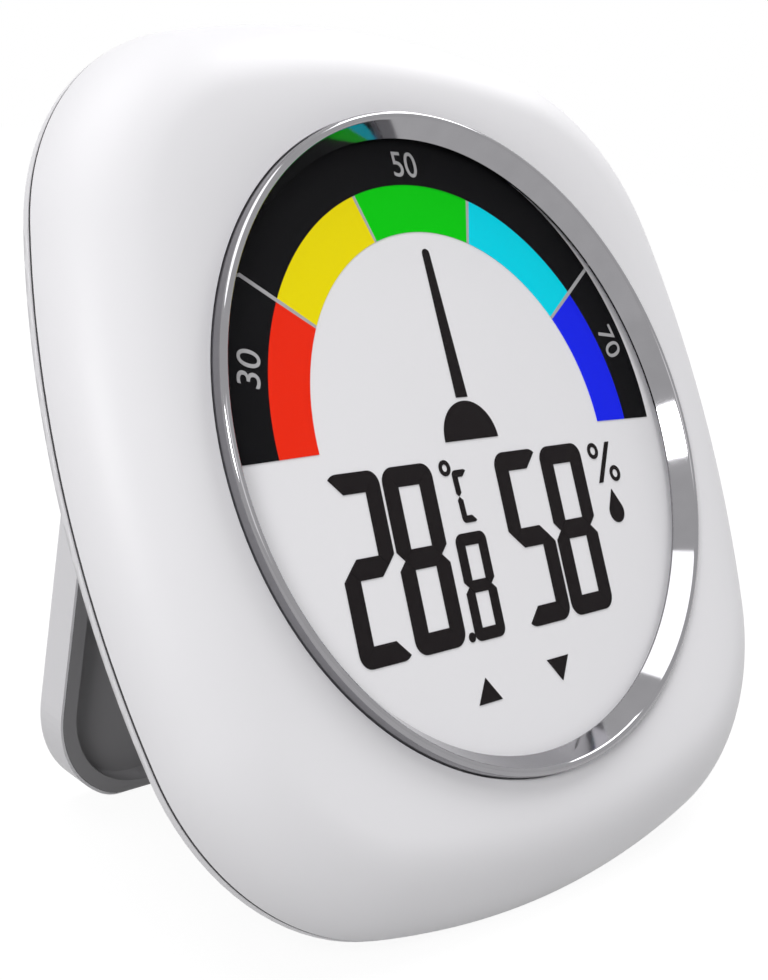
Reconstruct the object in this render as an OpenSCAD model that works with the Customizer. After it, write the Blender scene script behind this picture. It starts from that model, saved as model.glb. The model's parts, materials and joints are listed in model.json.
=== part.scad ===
// Desk thermometer and humidity meter with a round display and a fold-out leg.
// The pieces are drawn in a face frame: x to the viewer's right, y up the face and z out of the face,
// with zero at the middle of the case on the parting line of its two shells.
// The whole is then leaned back so that it stands on the floor at z = 0 with its front towards -y.

/* [Case] */
// Width and height of the case across its bowed sides
body_size = 96; // [94:1:104]
// Radius of each corner
corner_r = 27; // [25:0.5:29]
// Height of the flat front above the parting line
front_h = 6.8; // [6.8:0.1:8]
// Width of the rounded front edge
edge_w = 9; // [8:0.5:9.5]
// Depth of the back behind the parting line
rear_d = 15; // [15:0.5:18]
// How far the back is drawn in from the outline
rear_inset = 10; // [9:0.5:10.5]
// Height of the straight rim behind the parting line
rim_h = 1; // [0.8:0.1:1.4]
// Radius of the edge round the flat back
back_edge_r = 4; // [2:0.5:5]
// Wall thickness of both shells
wall = 2; // [1.8:0.1:2.2]
// Height of the shadow gap along the parting line
seam_h = 0.25; // [0.1:0.05:0.4]
// Depth of the shadow gap
seam_w = 0.8; // [0.4:0.1:1]
// Height of the locating lip on the rear shell
lip_h = 1.2; // [0.8:0.1:1.6]
// Thickness of the locating lip
lip_t = 1; // [0.8:0.1:1.2]

/* [Posture] */
// Angle by which the face leans back from upright
lean = 26; // [22:1:30]
// Angle between the open leg and the back
stand_open = 32; // [28:1:38]

/* [Window] */
// Gap between the dial's black band and the metal ring
ring_show = 0.3; // [0.2:0.1:1]
// Width of the metal ring
ring_w = 2.3; // [2:0.1:3]
// Height of the ring above the flat front
ring_rise = 1.4; // [0.6:0.1:1.5]
// Depth of the ring's seat below the flat front
ring_sink = 1; // [0.8:0.1:1.2]
// Radius of the ring's crest
ring_crest_r = 0.5; // [0.3:0.05:0.6]
// Height of the ring's upright inner edge
ring_lip = 0.2; // [0.1:0.05:0.4]
// How far the lens reaches under the ring
lens_tuck = 0.9; // [0.6:0.1:1.2]
// Thickness of the lens
lens_t = 0.6; // [0.5:0.1:0.7]

/* [Display cell] */
// How far the display cell reaches past the lens
cell_tuck = 1; // [0.6:0.1:1.2]
// Thickness of each glass plate
glass_t = 0.7; // [0.5:0.1:0.7]
// Thickness of the polariser and of the reflector
film_t = 0.2; // [0.1:0.05:0.25]
// Width of the ledge of contacts that the rear glass leaves free
contact_ledge = 5.2; // [4.8:0.1:6]
// Thickness of printed colours and display segments
print_t = 0.08; // [0.05:0.01:0.09]
// Gap under the lens
lens_air = 0.1; // [0.1:0.01:0.15]
// Thickness of the display frame's rim
frame_t = 1.7; // [1.4:0.1:1.7]
// Width of the display frame's rim
frame_w = 4.5; // [3:0.5:5]

/* [Dial] */
// Height of the dial's centre above the middle of the window
dial_rise = 0.8; // [0:0.1:1]
// Inner radius of the coloured zones
zone_in_r = 22.2; // [21:0.1:23]
// Outer radius of the coloured zones
zone_out_r = 27.4; // [26:0.1:28]
// Width of the black band outside the zones
band_w = 4.6; // [4:0.1:5]
// How far the band runs under the ring at the top
band_tuck = 0.9; // [0.5:0.1:0.9]
// Width of the pale lines between zones
zone_line = 0.45; // [0.3:0.05:0.8]
// Angle from level to the lines beside the first and last zones
outer_line_a = 33.2; // [30:0.2:36]
// Angle from level to the lines beside the middle zone
inner_line_a = 71; // [68:0.5:74]
// How far the dial runs on below level at each end
dial_overrun = 1; // [0:0.5:3]
// Radius of the needle's hub
hub_r = 4.2; // [3:0.1:4.5]
// Drop of the hub's flat edge below the dial's centre
hub_drop = 0.7; // [0:0.1:1]
// Height at which the needle starts
needle_low = 3.9; // [3.8:0.1:6]
// Height of the needle's tip
needle_tip = 20.3; // [18:0.1:21]
// Width of the needle at its base
needle_w = 1.8; // [1:0.1:2.5]
// Width of the needle at its tip
needle_tip_w = 1.1; // [0.5:0.1:1.5]

/* [Digits] */
// Height of the large digits
digit_h = 18.9; // [15:0.1:20]
// Width of the large digits
digit_w = 7.3; // [6:0.1:7.4]
// Stroke of the large digits
digit_stroke = 2.1; // [1.2:0.1:2.2]
// Top of the digits below the dial's centre
digit_top = 2.5; // [1.5:0.1:4]
// Height of the small digit
small_h = 11.1; // [9:0.1:12]
// Width of the small digit
small_w = 4.7; // [4:0.1:4.8]
// Stroke of the small digit
small_stroke = 1.25; // [0.8:0.05:1.4]
// Height of the unit letter and signs
sign_h = 5.6; // [4:0.1:5.6]
// Width of the unit letter and signs
sign_w = 2.3; // [2:0.1:3.4]
// Stroke of the unit letter and signs
sign_stroke = 0.8; // [0.5:0.05:1]
// Gap between neighbouring display segments
segment_gap = 0.22; // [0.15:0.01:0.35]

/* [Board] */
// Thickness of the circuit board
board_t = 1.2; // [1:0.1:1.6]
// Distance from the back of the display cell to the board
board_drop = 2.6; // [2.5:0.1:2.6]
// Width of the board outside its screws
board_margin = 2.5; // [2:0.1:2.8]
// Half width of the board's upper tab
tab_half_w = 21; // [20:0.5:22]
// Lower edge of the board
board_low = -9; // [-9.5:0.1:-8.5]
// Shoulder of the board
board_mid = 19; // [17:0.5:20]
// Height of the board above its switches and contacts
board_top_margin = 1; // [0.5:0.1:1.5]
// Gap between the board and the case's locating lip
board_gap = 0.4; // [0.3:0.1:0.6]
// Heights of the board screws
board_screw_v = [-6, 12];
// Radius of the board screws
board_screw_r = 0.8; // [0.6:0.05:0.9]

/* [Case screws] */
// Distance of the case screws from the middle
case_screw_u = 26; // [26:0.1:26.6]
// Gap between the case screws' posts and the display cell
post_gap = 0.8; // [0.4:0.1:1.2]
// How much further out the lower case screws are
low_screw_drop = 1.2; // [0.8:0.1:1.6]
// Depth of the screw heads' seat behind the parting line
screw_seat = 7; // [6.5:0.1:7.5]
// Height at which the shells' screw posts meet, behind the parting line
post_split = 2; // [1.8:0.1:2.5]
// Length of the case screws' shank
case_screw_len = 9; // [8:0.5:10]
// Radius of the case screws
case_screw_r = 1.1; // [0.9:0.05:1.2]
// Radius of the case screws' head
case_head_r = 2.1; // [1.8:0.1:2.2]
// Height of the case screws' head
case_head_h = 1.4; // [1:0.1:1.6]

/* [Battery] */
// Radius of the battery cell
cell_r = 5.25; // [5:0.05:5.25]
// Length of the battery cell with its nub
cell_len = 44.5; // [43.5:0.1:44.5]
// Height of the battery's axis
cell_v = -19; // [-19.2:0.1:-18.8]
// Length of the contact spring when the cell is in
spring_len = 3.9; // [3.5:0.1:4.5]
// Wall of the battery bay
bay_wall = 1.2; // [1:0.1:1.2]
// Roof of the battery bay
bay_roof = 0.8; // [0.6:0.1:0.8]
// Thickness of the contact plates
contact_t = 0.4; // [0.3:0.05:0.5]
// Wire radius of the contact spring
spring_wire = 0.3; // [0.25:0.05:0.35]
// Turns of the contact spring
spring_turns = 3; // [2:1:3]
// Radius of the battery leads
lead_r = 0.5; // [0.4:0.05:0.6]

/* [Battery door] */
// How far the battery door laps over each end of the bay
door_lap = 1.3; // [1:0.1:1.5]
// Height of the battery door
door_h = 17; // [16:0.5:17]
// Thickness of the battery door
door_t = 1.6; // [1.4:0.1:1.7]
// Thickness of the door's edge under the rails
door_edge_t = 0.8; // [0.6:0.1:0.9]
// Width of the door's edge under the rails
door_edge_w = 0.8; // [0.6:0.1:1]
// Travel of the door
door_travel = 7; // [4:0.5:8]
// Thickness of the rails' walls and lips
rail_t = 0.8; // [0.6:0.1:0.9]
// Number of grip ribs on the door
rib_count = 4; // [2:1:5]

/* [Leg] */
// How far the leg is wider than the door's rails on each side
stand_margin = 3.9; // [3.5:0.1:4.4]
// Thickness of the leg
stand_t = 3.9; // [3.6:0.1:4]
// Drop of the hinge axis below the hanging hole
hinge_drop = 10; // [9.8:0.1:11]
// Radius of the leg's lower corners
stand_corner_r = 13; // [8:0.5:15]
// Width of the leg's rim
stand_rim = 2; // [1.6:0.1:2.2]
// Thickness of the leg's outer skin
stand_skin = 0.8; // [0.7:0.1:1]
// Thickness of the grey liner
liner_t = 0.6; // [0.4:0.1:0.7]
// White edge left round the liner
liner_edge = 0.3; // [0.1:0.1:0.5]
// Radius of the hinge pins
pin_r = 1.2; // [1:0.05:1.25]
// Length of the hinge pins
pin_len = 2.2; // [1.5:0.1:2.5]
// Width of the heel that stops the leg
heel_w = 40; // [20:1:50]
// Height of the heel's top above the hinge axis
heel_top = 0.5; // [0.3:0.1:0.7]
// Depth of the flat on the foot
foot_cut = 0.3; // [0.1:0.05:0.4]

/* [Buttons] */
// Distance of the buttons from the middle
button_u = 13; // [12:0.1:14]
// Drop of the buttons below the top of the flat back
button_drop = 7; // [6.8:0.1:7.4]
// Radius of a button
button_r = 2.4; // [2:0.1:2.6]
// How far a button stands proud of the back
button_proud = 0.5; // [0.2:0.1:0.8]
// Travel of a button
button_travel = 0.5; // [0.3:0.1:0.6]

/* [Hanging hole] */
// Radius of the hole that the screw's head goes through
key_r = 3.5; // [3:0.1:3.6]
// Half width of the slot that the screw's shank slides up
key_slot_r = 1.7; // [1.4:0.1:1.7]
// Drop of the hole below the buttons
key_drop = 1.4; // [1:0.1:1.6]
// Rise of the slot above the hole
key_rise = 4; // [3.5:0.1:4.5]

/* [Vents] */
// Number of air slots on each side
vent_count = 5; // [3:1:7]
// Spacing of the air slots
vent_pitch = 3.4; // [3:0.1:4]
// Width of an air slot
vent_w = 1.4; // [1:0.1:1.6]
// Depths behind the parting line between which the air slots run
vent_span = [4.5, 9];

/* [Clearances] */
// Gap between pieces that are assembled with room to spare
loose = 0.2; // [0.15:0.01:0.25]
// Gap round screws in their holes
screw_gap = 0.1; // [0.05:0.01:0.15]
// Gap round the hinge pins
pin_gap = 0.05; // [0.02:0.01:0.08]
// Gap between moving pieces
slide_gap = 0.3; // [0.3:0.01:0.4]
// Gap under the sliding door
door_gap = 0.1; // [0.05:0.01:0.15]

/* [Hidden] */
$fn = 96;
// Overshoot of cuts past the faces they open
over = 1;

// The outline: four side arcs and four corner arcs that meet smoothly. The line from a side arc's centre
// through a corner arc's centre has the slope 9 to 40, so the two centres lie 41 steps apart.
half = body_size / 2;
bow = [40, 9, 41];
bow_step = (half - corner_r) / (bow[2] - bow[0] + bow[1]);
corner_c = bow[1] * bow_step;
side_c = corner_c - bow[0] * bow_step;
arc_gap = bow[2] * bow_step;
meet = [corner_c + bow[0] * bow_step, corner_c + bow[1] * bow_step];

// The front edge is one arc, level at the flat front
edge_r = (edge_w * edge_w + front_h * front_h) / (2 * front_h);
edge_x = corner_r - edge_w;
edge_z = front_h - edge_r;

// The back's slope, and the wall inside it
slope_x = rear_inset;
slope_z = rear_d - rim_h;
slope_len = norm([slope_x, slope_z]);
slope_a = atan2(slope_z, slope_x);
back_x = corner_r - rear_inset;
back_tangent = back_edge_r * tan(slope_a / 2);
back_cut_x = back_x + back_tangent * cos(slope_a);
back_cut_z = -rear_d + back_tangent * sin(slope_a);
floor_in = -rear_d + wall;
inner_top_x = corner_r - wall * slope_len / slope_z + rim_h * slope_x / slope_z;
function inner_slope_x(z) = inner_top_x + z * slope_x / slope_z;
lip_out_x = edge_x + sqrt(pow(edge_r - wall, 2) - pow(lip_h - edge_z, 2)) - loose;
lip_in_x = lip_out_x - lip_t;
lip_root_z = (lip_in_x - inner_top_x) * slope_z / slope_x;

// The dial sets the window, and the window sets the display cell
band_r = zone_out_r + band_w;
ring_in_r = band_r + dial_rise + ring_show;
ring_r = ring_in_r + ring_w;
lens_r = ring_in_r + lens_tuck;
band_top_r = ring_in_r + band_tuck - dial_rise;
band_edge_r = (band_top_r * band_top_r + band_r * band_r) / (2 * band_top_r);
cell_disc_r = lens_r + cell_tuck;
contact_v = cell_disc_r - contact_ledge;

// Heights on the back, counted down from the top of its flat
button_v = half - rear_inset - button_drop;
key_v = button_v - key_drop;
hinge_v = key_v - hinge_drop;

// Levels through the window and the display cell
ring_seat = front_h - ring_sink;
lens_low = ring_seat - lens_t;
lcd_front = lens_low - lens_air;
front_glass_top = lcd_front - film_t;
rear_glass_top = front_glass_top - glass_t;
reflector_top = rear_glass_top - glass_t;
lcd_back = reflector_top - film_t;
board_front = lcd_back - board_drop;
board_back = board_front - board_t;
ear_t = 1.3;
ear_top = board_front + ear_t;
window_r = lens_r + loose;
cell_seat_r = cell_disc_r + loose;

// Widths of the battery bay, its door and the leg that covers them
plate_u = (cell_len + spring_len) / 2;
bay_half_w = plate_u + contact_t + loose / 2;
door_half_w = bay_half_w + door_lap;
rail_in = door_half_w + slide_gap;
stand_half_w = rail_in + rail_t + stand_margin;

// The leg folds flush into a pocket in the back
flush = 0.05;
hinge_w = -rear_d + flush + stand_t / 2;
pocket_w = hinge_w + stand_t / 2 + slide_gap;
side_gap = 0.4;
pocket_half_w = stand_half_w + side_gap;
pocket_wall = 1.6;
stop_gap = 0.2;
heel_len = (pocket_w - stop_gap - hinge_w - heel_top * cos(stand_open)) / sin(stand_open);
pocket_top = hinge_v + norm([heel_len, stand_t / 2]) + slide_gap;

// The floor touches the rear shell's rim and the foot of the leg
rim_left = 0.1;
base_cut = (rim_h - rim_left) * sin(lean);
shift_z = half * cos(lean) + rim_h * sin(lean) - base_cut;
hinge_h = hinge_v * cos(lean) + hinge_w * sin(lean) + shift_z;
foot_r = stand_t / 2;
stand_len = (hinge_h - foot_r + foot_cut) / cos(stand_open - lean);
pocket_low = hinge_v - stand_len - foot_r - slide_gap;
foot_v = hinge_v - stand_len * cos(stand_open);
foot_w = hinge_w - stand_len * sin(stand_open);
front_y = -(half - edge_w) * sin(lean) - edge_z * cos(lean) - edge_r;
foot_back_y = foot_v * sin(lean) - foot_w * cos(lean) + foot_r;
back_edge_v = half - rear_inset - back_tangent;
case_back_y = back_edge_v * sin(lean) + (rear_d - back_edge_r) * cos(lean) + back_edge_r;
back_y = max(foot_back_y, case_back_y);
shift_y = -(front_y + back_y) / 2;

// The battery bay and its door
cell_gap = 0.45;
bay_gap = 0.35;
cell_w = pocket_w + cell_r + cell_gap;
bay_half_h = cell_r + bay_gap;
bay_top_w = cell_w + cell_r + bay_gap;
door_low = cell_v - door_h / 2;
door_w = pocket_w - door_gap;
rail_lip_w = door_w - door_edge_t - slide_gap;
rail_low_w = rail_lip_w - rail_t;
rail_lip_high = door_low + door_travel - slide_gap;
nub_len = 0.8;
nub_r = 1.9;
cell_low_u = plate_u - cell_len;
contact_half_h = 4;
contact_drop = 3.5;
tail_out = 1.4;
tail_end_v = cell_v + bay_half_h + bay_wall + tail_out;
tail_w = board_back - 0.5;
tail_h = 1.6;
lead_in = 2;
lead_turn_v = board_low + lead_in;
spring_wide_r = cell_r - 1.8;
spring_narrow_r = 1.8;
spring_seat_gap = 0.02;
rib_pitch = 2;
rib_half_w = 6;
rib_half_h = 0.4;
rib_rise = 0.4;
rib_margin = 3;

// Screw posts
post_wall = 1.4;
head_gap = 0.3;
head_wall = 0.8;
post_r = case_screw_r + post_wall;
case_screw_high = sqrt(pow(cell_seat_r + post_r + post_gap, 2) - pow(case_screw_u, 2));
case_screw_low = case_screw_high + low_screw_drop;
head_hole_r = case_head_r + head_gap;
rear_post_r = head_hole_r + head_wall;
case_screw_at = [
    for (side = [-1, 1])
    for (v = [case_screw_high, -case_screw_low]) [side * case_screw_u, v]
];
board_boss_r = 2.2;
near_screw_v = min([for (v = board_screw_v) abs(v)]);
far_screw_v = max([for (v = board_screw_v) abs(v)]);
cell_edge_u = sqrt(pow(cell_seat_r, 2) - pow(near_screw_v, 2));
lip_edge_u = side_c + sqrt(pow(arc_gap + lip_in_x, 2) - pow(near_screw_v, 2));
board_screw_u = (cell_edge_u + lip_edge_u) / 2;
board_half_w = board_screw_u + board_margin;
ear_bite = 0.5;
ear_in_u = sqrt(pow(cell_disc_r, 2) - pow(far_screw_v + board_boss_r, 2)) - ear_bite;
board_screw_at = [
    for (side = [-1, 1])
    for (v = board_screw_v) [side * board_screw_u, v]
];
board_head_r = 1.6;
board_head_h = 1;
board_screw_len = 4;

// Switches and buttons
switch_w = 6;
switch_h = 3.5;
plunger_h = 0.8;
plunger_r = 1.7;
switch_back = board_back - switch_h - plunger_h;
button_end = switch_back - button_travel - slide_gap;
button_flange_w = 1.1;
button_flange_r = button_r + button_flange_w;
button_flange_t = 0.8;
button_stem_r = 1.5;
button_at = [-button_u, button_u];

// A scoop for a fingertip at the pocket's lower edge, and solid ground for the hinge pins
finger_r = 9;
finger_bite = 4.5;
finger_v = pocket_low - finger_r + finger_bite;
finger_sink = 1;
hinge_block_r = 3;
hinge_block_wall = 2;
hinge_block_len = pin_len + hinge_block_wall;

// Display figures: which segments are lit, from the top clockwise and then the middle bar
two = [1, 1, 0, 1, 1, 0, 1];
five = [1, 0, 1, 1, 0, 1, 1];
eight = [1, 1, 1, 1, 1, 1, 1];
letter_c = [1, 0, 0, 1, 1, 1, 0];
// Cut corners of the figures, and the places of figures and signs from the dial's centre
figure_nip = 0.3;
digits_left = -22.1;
digits_right = 2.4;
small_left = -6.1;
sign_left = -4.4;
sign_drop = 1.2;
ring_sign_r = 0.95;
ring_sign_stroke = 0.45;
percent_left = 19.1;
percent_w = 4.9;
percent_h = 4.4;
arrow_v = -26.5;
arrow_h = 2.4;
arrow_half_w = 1.7;
arrow_at = [-6, 5.8];
drop_at = [21.5, -11];
drop_r = 1.3;

// The contact strip, and the parts on the board's back
zebra_half_w = 11;
zebra_t = 2.2;
zebra_margin = 0.5;
zebra_v = contact_v + zebra_margin;
board_high = max(button_v + switch_w / 2, zebra_v + zebra_t) + board_top_margin;
blob_at = [0, 6];
blob_r = 6.5;
blob_h = 1.6;
crystal_at = [-16, 4];
crystal_r = 1;
crystal_len = 6;
chip_at = [12, -2];
chip_size = [1.6, 3, 0.9];
chip_pitch = 3;
chip_count = 5;
can_at = [24, 12];
can_r = 2.5;
can_h = 5;
sensor_at = [-35, -2];
sensor_size = [6, 10, 3];
sensor_wall = 1;
sensor_slots = 4;
sensor_slot_w = 1.2;
sensor_slot_pitch = 2.2;
bead_at = [33, 4];
bead_r = 1.2;
bead_drop = 4;
wire_r = 0.25;
wire_half_gap = 0.6;

// The leg's hollow
hollow_top = -stand_t;
hollow_wall = stand_rim - liner_t;

// Leans the face frame back onto the floor
module in_row() {
    translate([0, shift_y, shift_z]) rotate([90 - lean, 0, 0]) children();
}

// Opens the leg's own frame about the hinge: the leg hangs along -y, its hollow faces +z
module at_hinge() {
    translate([0, hinge_v, hinge_w]) rotate([stand_open, 0, 0]) children();
}

// Everything below the floor
module below_floor() {
    translate([-body_size, -body_size, -body_size]) cube([2 * body_size, 2 * body_size, body_size]);
}

// A box from its low corner to its high corner
module span_box(low, high) {
    translate(low) cube(high - low);
}

// Upright cylinder between two levels
module post(at, low, high, r) {
    translate([at[0], at[1], low]) cylinder(h = high - low, r = r);
}

// Prism over a plan, tall enough for the whole case
module case_prism(points) {
    translate([0, 0, -body_size]) linear_extrude(2 * body_size) polygon(points);
}

// One bowed side and one round corner; a profile's x is the distance out from the corner centres.
// The first child is the side's profile and the second the corner's.
module case_quarter() {
    intersection() {
        translate([side_c, 0, 0]) rotate_extrude() translate([arc_gap, 0]) children(0);
        case_prism([[corner_c, -corner_c], [meet[0], -meet[1]], meet, [corner_c, corner_c]]);
    }
    intersection() {
        translate([corner_c, corner_c, 0]) rotate_extrude() children(1);
        case_prism([[corner_c, corner_c], meet, [meet[0], meet[0]], [meet[1], meet[0]]]);
    }
}

// The square middle of the case, which reaches a little past the corner centres into the sides
module case_core(low, high) {
    reach = corner_c + over;
    span_box([-reach, -reach, low], [reach, reach, high]);
}

// Half profile of the front, moved in by a wall, from a start across to the edge and up from a level
module front_profile(inset, low, start) {
    intersection() {
        union() {
            translate([start, low]) square([edge_x - start, front_h - inset - low]);
            translate([edge_x, edge_z]) circle(edge_r - inset);
        }
        translate([start, low]) square([corner_r - start, front_h - low]);
    }
}

module front_solid(inset, low) {
    case_core(low, front_h - inset);
    for (quarter = [0:3]) rotate([0, 0, 90 * quarter]) case_quarter() {
        front_profile(inset, low, -corner_c);
        front_profile(inset, low, 0);
    }
}

// Half profile of the back, with the shadow gap under the parting line
module rear_profile(start) {
    polygon([
        [start, 0],
        [corner_r - seam_w, 0],
        [corner_r - seam_w, -seam_h],
        [corner_r, -seam_h],
        [corner_r, -rim_h],
        [back_cut_x, back_cut_z],
        [back_x - back_tangent, -rear_d],
        [start, -rear_d]
    ]);
    translate([back_x - back_tangent, -rear_d + back_edge_r]) circle(back_edge_r);
}

module rear_solid() {
    case_core(-rear_d, 0);
    for (quarter = [0:3]) rotate([0, 0, 90 * quarter]) case_quarter() {
        rear_profile(-corner_c);
        rear_profile(0);
    }
}

module rear_cavity_profile(start) {
    polygon([
        [start, over],
        [lip_in_x, over],
        [lip_in_x, lip_root_z],
        [inner_slope_x(floor_in), floor_in],
        [start, floor_in]
    ]);
}

module rear_cavity() {
    case_core(floor_in, over);
    for (quarter = [0:3]) rotate([0, 0, 90 * quarter]) case_quarter() {
        rear_cavity_profile(-corner_c);
        rear_cavity_profile(0);
    }
}

module lip_profile() {
    translate([lip_in_x, -over]) square([lip_t, lip_h + over]);
}

module locating_lip() {
    for (quarter = [0:3]) rotate([0, 0, 90 * quarter]) case_quarter() {
        lip_profile();
        lip_profile();
    }
}

// Plan of the leg, moved in by a margin, with round lower corners
module stand_plan(inset, top) {
    low = -stand_len - foot_r + inset;
    r = stand_corner_r - inset;
    w = stand_half_w - inset;
    translate([-w, low + r]) square([2 * w, top - low - r]);
    translate([-w + r, low]) square([2 * (w - r), r + over]);
    for (side = [-1, 1]) translate([side * (w - r), low + r]) circle(r);
}

// The pocket that the folded leg lies in, grown by a wall
module pocket(grow, floor_w) {
    r = stand_corner_r + slide_gap;
    w = pocket_half_w + grow;
    low = pocket_low - grow;
    translate([0, 0, -rear_d - over]) linear_extrude(floor_w + rear_d + over) {
        translate([-w, low + r]) square([2 * w, pocket_top + grow - low - r]);
        translate([-w + r, low]) square([2 * (w - r), r + over]);
        for (side = [-1, 1]) translate([side * (w - r), low + r]) circle(r);
    }
}

module front_shell() {
    color("white") in_row() difference() {
        union() {
            difference() {
                front_solid(0, 0);
                front_solid(wall, -over);
            }
            for (at = case_screw_at) post(at, -post_split, front_h - wall + loose, post_r);
            for (at = board_screw_at) post(at, ear_top, front_h - wall + loose, board_boss_r);
        }
        post([0, 0], -over, front_h + over, window_r);
        post([0, 0], ring_seat, front_h + over, ring_r + loose / 2);
        post([0, 0], -over, lcd_front, cell_seat_r);
        for (at = case_screw_at)
            post(at, -post_split - over, case_screw_len - screw_seat + loose, case_screw_r + screw_gap);
        for (at = board_screw_at)
            post(at, ear_top - over, board_back + board_screw_len + loose, board_screw_r + screw_gap);
    }
}

module rear_shell() {
    color("white") difference() {
        in_row() difference() {
            union() {
                difference() {
                    rear_solid();
                    difference() {
                        rear_cavity();
                        pocket(pocket_wall, pocket_w + pocket_wall);
                        bay_block();
                        for (at = case_screw_at) post(at, -rear_d, -post_split, rear_post_r);
                        hinge_blocks();
                        post([0, finger_v], -rear_d, pocket_w + pocket_wall, finger_r + pocket_wall);
                    }
                }
                locating_lip();
            }
            pocket(0, pocket_w);
            bay_space();
            for (at = case_screw_at) {
                post(at, -rear_d - over, -screw_seat, head_hole_r);
                post(at, -rear_d, over, case_screw_r + screw_gap);
            }
            for (side = [-1, 1]) hinge_bore(side);
            for (u = button_at)
                post([u, button_v], -rear_d - over, floor_in + over, button_r + slide_gap);
            hanging_hole();
            for (side = [-1, 1]) air_slots(side);
            post([0, finger_v], -rear_d - over, pocket_w - finger_sink, finger_r);
        }
        below_floor();
    }
    color("white") in_row() door_rails();
}

module bay_block() {
    w = bay_half_w + bay_wall;
    h = bay_half_h + bay_wall;
    span_box([-w, cell_v - h, pocket_w - over], [w, cell_v + h, bay_top_w + bay_roof]);
}

module bay_space() {
    w = bay_half_w;
    h = bay_half_h;
    span_box([-w, cell_v - h, pocket_w - over], [w, cell_v + h, bay_top_w]);
    // slits for the contacts' tails through the bay's upper wall
    for (side = [-1, 1]) mirror([side < 0 ? 1 : 0, 0, 0]) span_box(
        [plate_u - loose, cell_v, tail_w - tail_h - loose],
        [plate_u + contact_t + loose / 2, cell_v + h + bay_wall + over, tail_w + loose]
    );
}

module hinge_blocks() {
    for (side = [-1, 1])
        translate([side * (pocket_half_w + hinge_block_len / 2), hinge_v, hinge_w])
            cube([hinge_block_len, 2 * hinge_block_r, 2 * hinge_block_r], center = true);
}

module hinge_bore(side) {
    translate([side * (pocket_half_w - over), hinge_v, hinge_w]) rotate([0, side * 90, 0])
        cylinder(h = pin_len + loose + over, r = pin_r + pin_gap);
}

module hanging_hole() {
    post([0, key_v], -rear_d - over, floor_in + over, key_r);
    post([0, key_v + key_rise], -rear_d - over, floor_in + over, key_slot_r);
    span_box([-key_slot_r, key_v, -rear_d - over], [key_slot_r, key_v + key_rise, floor_in + over]);
}

module air_slots(side) {
    inner = half - rear_inset - wall;
    for (i = [0:vent_count - 1]) {
        v = (i - (vent_count - 1) / 2) * vent_pitch;
        translate([side * (inner + rear_inset), v, -(vent_span[0] + vent_span[1]) / 2])
            cube([2 * rear_inset, vent_w, vent_span[1] - vent_span[0]], center = true);
    }
}

// Rails beside the battery door and the sill that stops it. The rails' lips end where the door's lower
// edge comes free of them at the end of its travel.
module door_rails() {
    low = door_low - slide_gap - rail_t;
    for (side = [-1, 1]) mirror([side < 0 ? 1 : 0, 0, 0]) {
        span_box([rail_in, low, rail_low_w], [rail_in + rail_t, door_low + door_h, pocket_w]);
        span_box([rail_in - rail_t, low, rail_low_w], [rail_in, rail_lip_high, rail_lip_w]);
    }
    span_box([-rail_in, low, rail_lip_w], [rail_in, low + rail_t, pocket_w]);
}

// Ring with a sloped inner face and a rounded crest
module bezel_ring() {
    crest_x = ring_r - ring_crest_r;
    crest_z = front_h + ring_rise - ring_crest_r;
    slope_low = [ring_in_r, ring_seat + ring_lip];
    to_crest = [crest_x, crest_z] - slope_low;
    reach = norm(to_crest);
    tangent_a = atan2(to_crest[1], to_crest[0]) + asin(ring_crest_r / reach);
    touch = [crest_x - ring_crest_r * sin(tangent_a), crest_z + ring_crest_r * cos(tangent_a)];
    color("silver") in_row() rotate_extrude() {
        polygon([
            [ring_in_r, ring_seat],
            [ring_r, ring_seat],
            [ring_r, crest_z],
            [crest_x, crest_z],
            touch,
            slope_low
        ]);
        translate([crest_x, crest_z]) circle(ring_crest_r);
    }
}

module lens() {
    color("lightcyan", 0.3) in_row() post([0, 0], lens_low, ring_seat, lens_r);
}

// Flat arc of the dial between two angles and two radii
module dial_arc(from, to, r_in, r_out) {
    translate([0, dial_rise, lcd_front]) rotate([0, 0, from])
        rotate_extrude(angle = to - from) translate([r_in, 0]) square([r_out - r_in, print_t]);
}

function line_half_a(r) = asin(zone_line / 2 / r);

module zone(from, to, low_line, high_line) {
    gap = line_half_a(zone_out_r);
    in_row() dial_arc(from + gap * low_line, to - gap * high_line, zone_in_r, zone_out_r);
}

module zone_red() {
    color("red") zone(180 - outer_line_a, 180 + dial_overrun, 1, 0);
}

module zone_yellow() {
    color("yellow") zone(180 - inner_line_a, 180 - outer_line_a, 1, 1);
}

module zone_green() {
    color("limegreen") zone(inner_line_a, 180 - inner_line_a, 1, 1);
}

module zone_cyan() {
    color("deepskyblue") zone(outer_line_a, inner_line_a, 1, 1);
}

module zone_blue() {
    color("blue") zone(-dial_overrun, outer_line_a, 0, 1);
}

// The band's outer edge is a circle of its own, which runs under the ring at the top of the dial
module scale_band() {
    gap = line_half_a(band_r);
    color("black") in_row() intersection() {
        union() {
            dial_arc(-dial_overrun, outer_line_a - gap, zone_out_r, band_top_r + over);
            dial_arc(outer_line_a + gap, 180 - outer_line_a - gap, zone_out_r, band_top_r + over);
            dial_arc(180 - outer_line_a + gap, 180 + dial_overrun, zone_out_r, band_top_r + over);
        }
        post([0, dial_rise + band_top_r - band_edge_r], lcd_front - over, lcd_front + print_t + over,
            band_edge_r);
    }
}

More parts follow.
